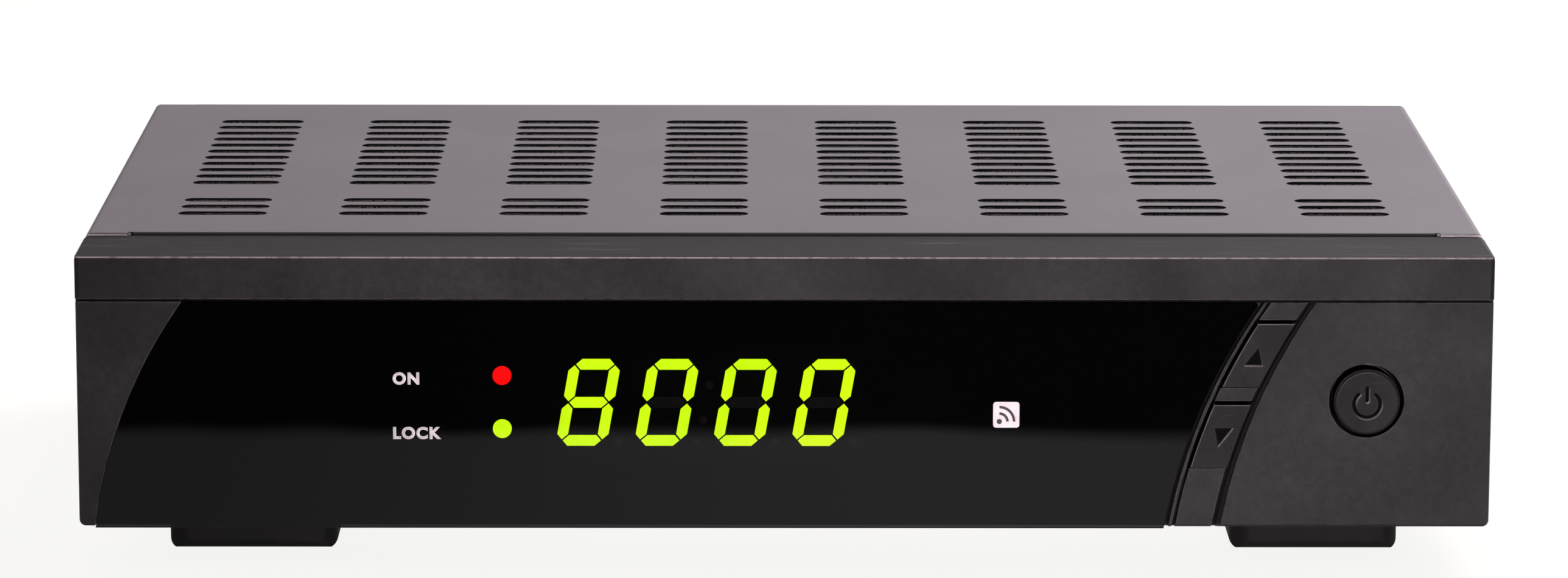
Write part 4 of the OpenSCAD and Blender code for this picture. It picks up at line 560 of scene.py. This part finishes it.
finishes = {
    "front_moulding": moulded_front(),
    "smoked_window": smoked_acrylic(),
    "key_plastic": key_plastic(),
    "plunger_plastic": coated("plunger_plastic", (0.012, 0.012, 0.012), 0.5),
    "switch_body": coated("switch_body", (0.05, 0.05, 0.055), 0.4),
    "board_green": lacquered_board(
        "board_green", (0.012, 0.085, 0.034), (0.02, 0.14, 0.055), (0.62, 0.62, 0.6)),
    "board_tan": lacquered_board("board_tan", (0.42, 0.25, 0.1), (0.36, 0.2, 0.08), (0.6, 0.6, 0.58)),
    "zinc_screw": coated(
        "zinc_screw", (0.62, 0.62, 0.58), 0.3, metal=1.0, rub=0.3, rub_colour=(0.8, 0.8, 0.78)),
    "black_screw": coated(
        "black_screw", (0.035, 0.034, 0.036), 0.38, metal=0.4, rub=0.5, rub_colour=(0.5, 0.48, 0.48)),
    "display_case": coated("display_case", (0.012, 0.012, 0.0125), 0.55, rub=0.0, depth=0.000005),
    "lit_segment": glowing("lit_segment", LAMP_GREEN, 26.0, (0.5, 0.6, 0.1)),
    # The unlit segments glow faintly though no current lights them: painted light that makes them show
    # through the dark window
    "unlit_segment": glowing("unlit_segment", (0.95, 0.95, 0.9), 0.08, (0.09, 0.09, 0.085)),
    "red_lamp": glowing("red_lamp", (1.0, 0.003, 0.004), 28.0, (0.5, 0.02, 0.02), LAMP_FACE),
    "green_lamp": glowing("green_lamp", LAMP_GREEN, 26.0, (0.3, 0.5, 0.05), LAMP_FACE),
    "sensor_resin": coated("sensor_resin", (0.012, 0.008, 0.016), 0.2, rub=0.0),
    "header_nylon": coated("header_nylon", (0.74, 0.7, 0.6), 0.45),
    "ribbon_vinyl": coated("ribbon_vinyl", (0.32, 0.32, 0.33), 0.45),
    "cover_paint": painted_cover(),
    "pan_steel": zinc("pan_steel", (0.6, 0.6, 0.58), 0.008, 0.34),
    "foot_rubber": coated(
        "foot_rubber", (0.014, 0.0132, 0.0138), 0.55, specular=0.07, cell=0.0006, depth=0.000015,
        cloud=0.012, contrast=0.18, rub=0.12, radius=0.0006),
    "chip_epoxy": coated("chip_epoxy", CHIP_BLACK, 0.55, cell=0.0002),
    "cpu_fins": coated("cpu_fins", (0.34, 0.35, 0.36), 0.4, metal=0.9, rub=0.4),
    "capacitor_sleeve": coated("capacitor_sleeve", (0.018, 0.034, 0.085), 0.25, coat=0.4),
    "bulk_sleeve": coated("bulk_sleeve", (0.028, 0.018, 0.022), 0.25, coat=0.4),
    "tin_plate": zinc("tin_plate", (0.66, 0.66, 0.63), 0.004, 0.26),
    "nickel": coated(
        "nickel", (0.72, 0.7, 0.65), 0.2, metal=1.0, cell=0.0006, depth=0.000004, contrast=0.06,
        rub=0.3, rub_colour=(0.85, 0.83, 0.78)),
    "socket_black": coated("socket_black", CHIP_BLACK, 0.42, contrast=0.15),
    "contact_brass": coated("contact_brass", (0.7, 0.52, 0.2), 0.25, metal=1.0),
    "insert_yellow": coated("insert_yellow", (0.8, 0.5, 0.008), 0.35, rub=0.1, rub_colour=(0.9, 0.7, 0.2)),
    "insert_white": coated("insert_white", (0.8, 0.8, 0.76), 0.35, rub=0.1, rub_colour=(0.6, 0.6, 0.58)),
    "insert_red": coated("insert_red", (0.57, 0.01, 0.015), 0.35, rub=0.1, rub_colour=(0.7, 0.2, 0.2)),
    "ferrite": coated("ferrite", (0.035, 0.033, 0.035), 0.6, cell=0.0003, depth=0.00003),
    "coil_tape": coated("coil_tape", (0.72, 0.47, 0.03), 0.3, contrast=0.1),
    "heatsink_plate": coated("heatsink_plate", (0.5, 0.51, 0.52), 0.38, metal=1.0, rub=0.2),
    "transistor_epoxy": coated("transistor_epoxy", CHIP_BLACK, 0.5),
    "choke_wire": coated("choke_wire", (0.3, 0.085, 0.03), 0.3, cell=0.0008, depth=0.00012),
    "fuse_glass": coated("fuse_glass", (0.6, 0.6, 0.56), 0.22, metal=0.8),
    "harness_vinyl": coated("harness_vinyl", (0.4, 0.05, 0.04), 0.4),
}

for entry in frame["record"]["subparts"]:
    mesh = nodes[entry["node"]].data
    mesh.materials.clear()
    mesh.materials.append(finishes[entry["material_slot"]])


# ---- Mesh helpers ----

def select_only(piece=None):
    bpy.ops.object.select_all(action="DESELECT")
    if piece is not None:
        piece.select_set(True)
        bpy.context.view_layer.objects.active = piece


def edit_all():
    bpy.ops.object.mode_set(mode="EDIT")
    bpy.ops.mesh.select_all(action="SELECT")


def close_up(threshold):
    """Joins doubled points, turns every face outward and leaves edit mode."""
    bpy.ops.mesh.select_all(action="SELECT")
    bpy.ops.mesh.remove_doubles(threshold=threshold)
    turn_outward()


def turn_outward():
    bpy.ops.mesh.select_all(action="SELECT")
    bpy.ops.mesh.normals_make_consistent(inside=False)
    bpy.ops.object.mode_set(mode="OBJECT")


def settle(piece, name, material, body):
    """Puts a finished piece's place into its mesh, and names, paints and seats it."""
    select_only(piece)
    bpy.ops.object.transform_apply(location=True, rotation=True, scale=True)
    piece.name = name
    piece.data.name = name
    piece.data.materials.clear()
    piece.data.materials.append(material)
    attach(piece, body)
    return piece


# ---- Printed marks on the window ----

INK_EDGE = 0.00001
INK_Y = PANEL_Y + 0.15
INK_T = 0.02

ink = coated("print_ink", (0.96, 0.86, 0.9), 0.5, rub=0.0, cell=0.0002, depth=0.000004, contrast=0.05,
             cloud=0.002, reach=INK_EDGE, radius=INK_EDGE)
ink_dark = coated("print_ink_dark", (0.012, 0.011, 0.012), 0.5, rub=0.0, depth=0.000004, reach=INK_EDGE,
                  radius=INK_EDGE)


def legend(text, name, left, baseline, cap_height):
    """A printed word, its left edge and baseline given from the middle and from the front's top edge."""
    select_only()
    bpy.ops.object.text_add(location=(0, 0, 0))
    piece = bpy.context.object
    piece.data.body = text
    piece.data.size = 1.0
    piece.data.extrude = 0.0
    piece.data.offset = 0.05
    piece.data.space_character = 1.16
    piece.data.resolution_u = 6
    bpy.ops.object.convert(target="MESH")
    piece = bpy.context.object
    xs = [v.co.x for v in piece.data.vertices]
    ys = [v.co.y for v in piece.data.vertices]
    size = cap_height * MM / (max(ys) - min(ys))
    edit_all()
    bpy.ops.mesh.remove_doubles(threshold=0.0001)
    bpy.ops.mesh.extrude_region_move(TRANSFORM_OT_translate={"value": (0, 0, INK_T * MM / size)})
    turn_outward()
    piece.scale = (size, size, size)
    piece.rotation_euler = (math.radians(90), 0, 0)
    piece.location = (left * MM - min(xs) * size, INK_Y * MM, (FRONT_TOP + baseline) * MM - min(ys) * size)
    return settle(piece, name, ink, "case")


LEGEND_LEFT = -62.35
LEGEND_CAP = 2.05
legend("ON", "legend_on", LEGEND_LEFT, -20.75, LEGEND_CAP)
legend("LOCK", "legend_lock", LEGEND_LEFT, -29.62, LEGEND_CAP)


def sensor_mark():
    """A rounded square with a dot and two arcs, the plain sign of a remote sensor."""
    x, z = 35.28, FRONT_TOP - 25.55
    half, corner = 2.1, 0.5
    stroke, dot_offset, arc_radii = 0.42, 1.1, (1.3, 2.35)
    select_only()
    bpy.ops.mesh.primitive_cube_add(size=1, location=(x * MM, (INK_Y - INK_T / 2) * MM, z * MM))
    plate = bpy.context.object
    plate.scale = (2 * half * MM, INK_T * MM, 2 * half * MM)
    bpy.ops.object.transform_apply(location=False, rotation=False, scale=True)
    bpy.ops.object.mode_set(mode="EDIT")
    bpy.ops.mesh.select_all(action="DESELECT")
    bpy.ops.mesh.select_mode(type="EDGE")
    bpy.ops.object.mode_set(mode="OBJECT")
    for edge in plate.data.edges:
        a, b = (plate.data.vertices[i].co for i in edge.vertices)
        edge.select = abs(a.y - b.y) > INK_T * MM * 0.5
    bpy.ops.object.mode_set(mode="EDIT")
    bpy.ops.mesh.bevel(offset=corner * MM, segments=6)
    bpy.ops.object.mode_set(mode="OBJECT")
    settle(plate, "sensor_mark_plate", ink, "case")

    # The dot sits near the lower left corner, and the arcs go round it
    dot_x, dot_z = (x - dot_offset) * MM, (z - dot_offset) * MM
    sign_y = (INK_Y - 1.4 * INK_T) * MM
    select_only()
    bpy.ops.mesh.primitive_cylinder_add(vertices=32, radius=stroke * MM, depth=INK_T * MM,
                                        rotation=(math.radians(90), 0, 0), location=(dot_x, sign_y, dot_z))
    settle(bpy.context.object, "sensor_mark_dot", ink_dark, "case")
    for k, radius in enumerate(arc_radii):
        select_only()
        bpy.ops.mesh.primitive_plane_add(size=1, location=((x - dot_offset + radius) * MM, sign_y, dot_z))
        arc = bpy.context.object
        arc.scale = (stroke * MM, INK_T * MM, 1)
        bpy.ops.object.transform_apply(location=True, rotation=True, scale=True)
        edit_all()
        bpy.ops.mesh.spin(steps=20, dupli=False, angle=math.radians(90), axis=(0, 1, 0),
                          center=(dot_x, INK_Y * MM, dot_z))
        close_up(1e-7)
        settle(arc, f"sensor_mark_arc_{k + 1}", ink_dark, "case")


sensor_mark()


# ---- Threaded barrels of the aerial sockets ----

THREAD_DEPTH = 0.35 * MM
THREAD_PITCH = 0.794 * MM
THREAD_TURNS = 10
# In turns: each flank, the flats between flanks, and the chamfer at the end
FLANK, CREST, ROOT, CHAMFER = 0.32, 0.16, 0.2, 0.4
LEAD_IN = 0.25 * MM
MOUTH_R, MOUTH_DEPTH = 3.7 * MM, 1.0 * MM
PIN_HOLE_R, PIN_HOLE_DEPTH = 0.7 * MM, 4.5 * MM
SLACK = 0.01 * MM


def threaded_barrel(node):
    """A barrel with its ridges, open mouth and white insulator, in the space of its plain CAD solid."""
    low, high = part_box(node)
    x, z = (low[0] + high[0]) / 2, (low[2] + high[2]) / 2
    radius = (high[0] - low[0]) / 2
    inner = radius - THREAD_DEPTH
    rim = inner - LEAD_IN
    y0, y1 = low[1], high[1]
    select_only()
    bpy.ops.mesh.primitive_circle_add(vertices=48, radius=inner, fill_type="NGON", location=(x, y0, z),
                                      rotation=(math.radians(-90), 0, 0))
    barrel = bpy.context.object
    bpy.ops.object.transform_apply(location=True, rotation=True, scale=True)
    edit_all()
    centre = (x, y0, z)

    def widen(factor):
        bpy.ops.transform.resize(value=(factor, 1, factor), center_override=centre)

    def step(length, factor=1.0):
        nonlocal centre
        bpy.ops.mesh.extrude_region_move(TRANSFORM_OT_translate={"value": (0, length, 0)})
        centre = (x, centre[1] + length, z)
        widen(factor)

    # A plain stretch, the ridges, a last flat and a chamfer that ends at the mouth
    step(y1 - y0 - (THREAD_TURNS + ROOT + CHAMFER) * THREAD_PITCH)
    for _ in range(THREAD_TURNS):
        step(THREAD_PITCH * FLANK, radius / inner)
        step(THREAD_PITCH * CREST)
        step(THREAD_PITCH * FLANK, inner / radius)
        step(THREAD_PITCH * ROOT)
    step(THREAD_PITCH * ROOT)
    step(y1 - centre[1], rim / inner)
    for from_r, to_r, depth in ((rim, MOUTH_R, MOUTH_DEPTH), (MOUTH_R, PIN_HOLE_R, PIN_HOLE_DEPTH)):
        bpy.ops.mesh.extrude_region_move()
        widen(to_r / from_r)
        step(-depth)
    close_up(1e-7)
    settle(barrel, node.replace("connector", "threaded_barrel"), finishes["nickel"], "case")
    barrel.data.materials.append(coated("insulator_white", (0.82, 0.82, 0.78), 0.4, rub=0.0))
    for face in barrel.data.polygons:
        at = face.center
        in_mouth = math.hypot(at.x - x, at.z - z) < MOUTH_R - SLACK
        if in_mouth and abs(at.y - (y1 - MOUTH_DEPTH)) < SLACK:
            face.material_index = 1
    select_only(barrel)
    bpy.ops.object.shade_smooth_by_angle(angle=math.radians(30))
    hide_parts(node)


for aerial in ("lnb_in_connector", "lnb_out_connector"):
    threaded_barrel(aerial)


# ---- Floor, studio and camera ----

def pale_floor():
    """A pale sheet that keeps the shadow, and that the window mirrors as a lit strip before a dark room."""
    select_only()
    bpy.ops.mesh.primitive_plane_add(size=6, location=(0, 0, 0))
    floor = bpy.context.object
    floor.name = "floor"
    material, tree, shader = blank("floor_paper")
    shader.inputs["Base Color"].default_value = (0.9, 0.895, 0.885, 1)
    shader.inputs["Roughness"].default_value = 0.9
    shader.inputs["Specular IOR Level"].default_value = 0.1
    out = next(n for n in tree.nodes if n.type == "OUTPUT_MATERIAL")
    rays = put(tree, "LightPath").outputs
    paper = put(tree, "BsdfDiffuse", {"Color": (0.2, 0.198, 0.195, 1)})
    glow = put(tree, "Emission", {"Color": (1.0, 0.995, 0.975, 1), "Strength": 0.885})
    lifted = put(tree, "AddShader", {0: paper, 1: glow})
    seen = put(tree, "MixShader", {0: rays["Is Camera Ray"], 1: shader, 2: lifted})
    # The lit strip is brighter at the right, and its far edge waves a little
    strip_end, strip_start = (PANEL_Y - 111) * MM, (PANEL_Y - 96) * MM
    point = split(tree, object_place(tree)).outputs
    wave = calc(tree, "SUBTRACT", noise(tree, 22.0, 1.0), 0.5)
    edge = calc(tree, "MULTIPLY_ADD", wave, 0.018, point["Y"])
    near = span(tree, edge, strip_end, strip_start, 0.08, 1.0)
    aside = span(tree, point["X"], -0.12, 0.03, 0.28, 0.5)
    dim = put(tree, "Emission", {"Color": (1.0, 0.94, 0.97, 1), "Strength": product(tree, near, aside)})
    mirrored = put(tree, "MixShader", {0: rays["Is Glossy Ray"], 1: seen, 2: dim})
    feed(tree, out.inputs["Surface"], mirrored)
    floor.data.materials.append(material)


def soft_lamp(name, at, aim, size, power, colour, spread=180):
    data = bpy.data.lights.new(name, "AREA")
    data.shape = "RECTANGLE"
    data.size, data.size_y = size
    data.energy = power
    data.color = colour
    data.spread = math.radians(spread)
    lamp = bpy.data.objects.new(name, data)
    bpy.context.collection.objects.link(lamp)
    lamp.location = at
    lamp.rotation_euler = (Vector(aim) - Vector(at)).to_track_quat("-Z", "Y").to_euler()


def studio():
    """A pale backdrop, a room that is brighter behind and to the right, and three soft lamps."""
    world = bpy.data.worlds.new("studio")
    bpy.context.scene.world = world
    world.use_nodes = True
    tree = world.node_tree
    tree.nodes.clear()
    out = put(tree, "OutputWorld")
    rays = put(tree, "LightPath")
    way = split(tree, put(tree, "TexCoord").outputs["Generated"]).outputs
    behind = span(tree, way["Y"], 0.0, 0.8, 0.08, 1.0)
    aside = span(tree, way["X"], -0.35, 0.3, 0.5, 1.38)
    room = put(tree, "Background", {
        "Color": (1.0, 0.93, 0.99, 1), "Strength": product(tree, behind, aside)})
    backdrop = put(tree, "Background", {"Color": (0.995, 0.985, 0.955, 1), "Strength": 1.0})
    seen = put(tree, "MixShader", {0: rays.outputs["Is Camera Ray"], 1: room, 2: backdrop})
    feed(tree, out.inputs["Surface"], seen)
    soft_lamp("key_softbox", at=(0.5, 0.5, 0.7), aim=(0, 0, 0.03), size=(0.6, 0.6), power=6.0,
              colour=(1.0, 0.94, 0.97))
    soft_lamp("fill_softbox", at=(-0.7, -0.9, 0.7), aim=(0, -0.05, 0.03), size=(0.7, 0.7), power=2.5,
              colour=(1.0, 0.95, 0.97))
    # A strip light on the floor, lower than the cover, so that only the front takes its light
    soft_lamp("front_strip", at=(0.15, -0.95, 0.026), aim=(0.04, -0.075, 0.026), size=(0.3, 0.03),
              power=0.102, colour=(1.0, 0.94, 0.96), spread=18)


pale_floor()
studio()

# The camera that took the photo, found from its straight edges: millimetres and degrees
CAMERA_LENS = 145.6
CAMERA_PLACE = (-6.0, PANEL_Y - 985.9, FRONT_TOP + 191.5)
PITCH, YAW, ROLL = 11.28, -0.34, 0.12

camera_data = bpy.data.cameras.new("photo_camera")
camera_data.lens = CAMERA_LENS
camera_data.sensor_width = 36.0
camera_data.clip_start = 0.01
camera_data.clip_end = 20.0
camera = bpy.data.objects.new("photo_camera", camera_data)
bpy.context.collection.objects.link(camera)
turn = (Matrix.Rotation(math.radians(YAW), 4, "Z") @ Matrix.Rotation(math.radians(90 - PITCH), 4, "X")
        @ Matrix.Rotation(math.radians(ROLL), 4, "Z"))
camera.matrix_world = Matrix.Translation(Vector(CAMERA_PLACE) * MM) @ turn
bpy.context.scene.camera = camera

bpy.context.scene.view_settings.view_transform = "Standard"
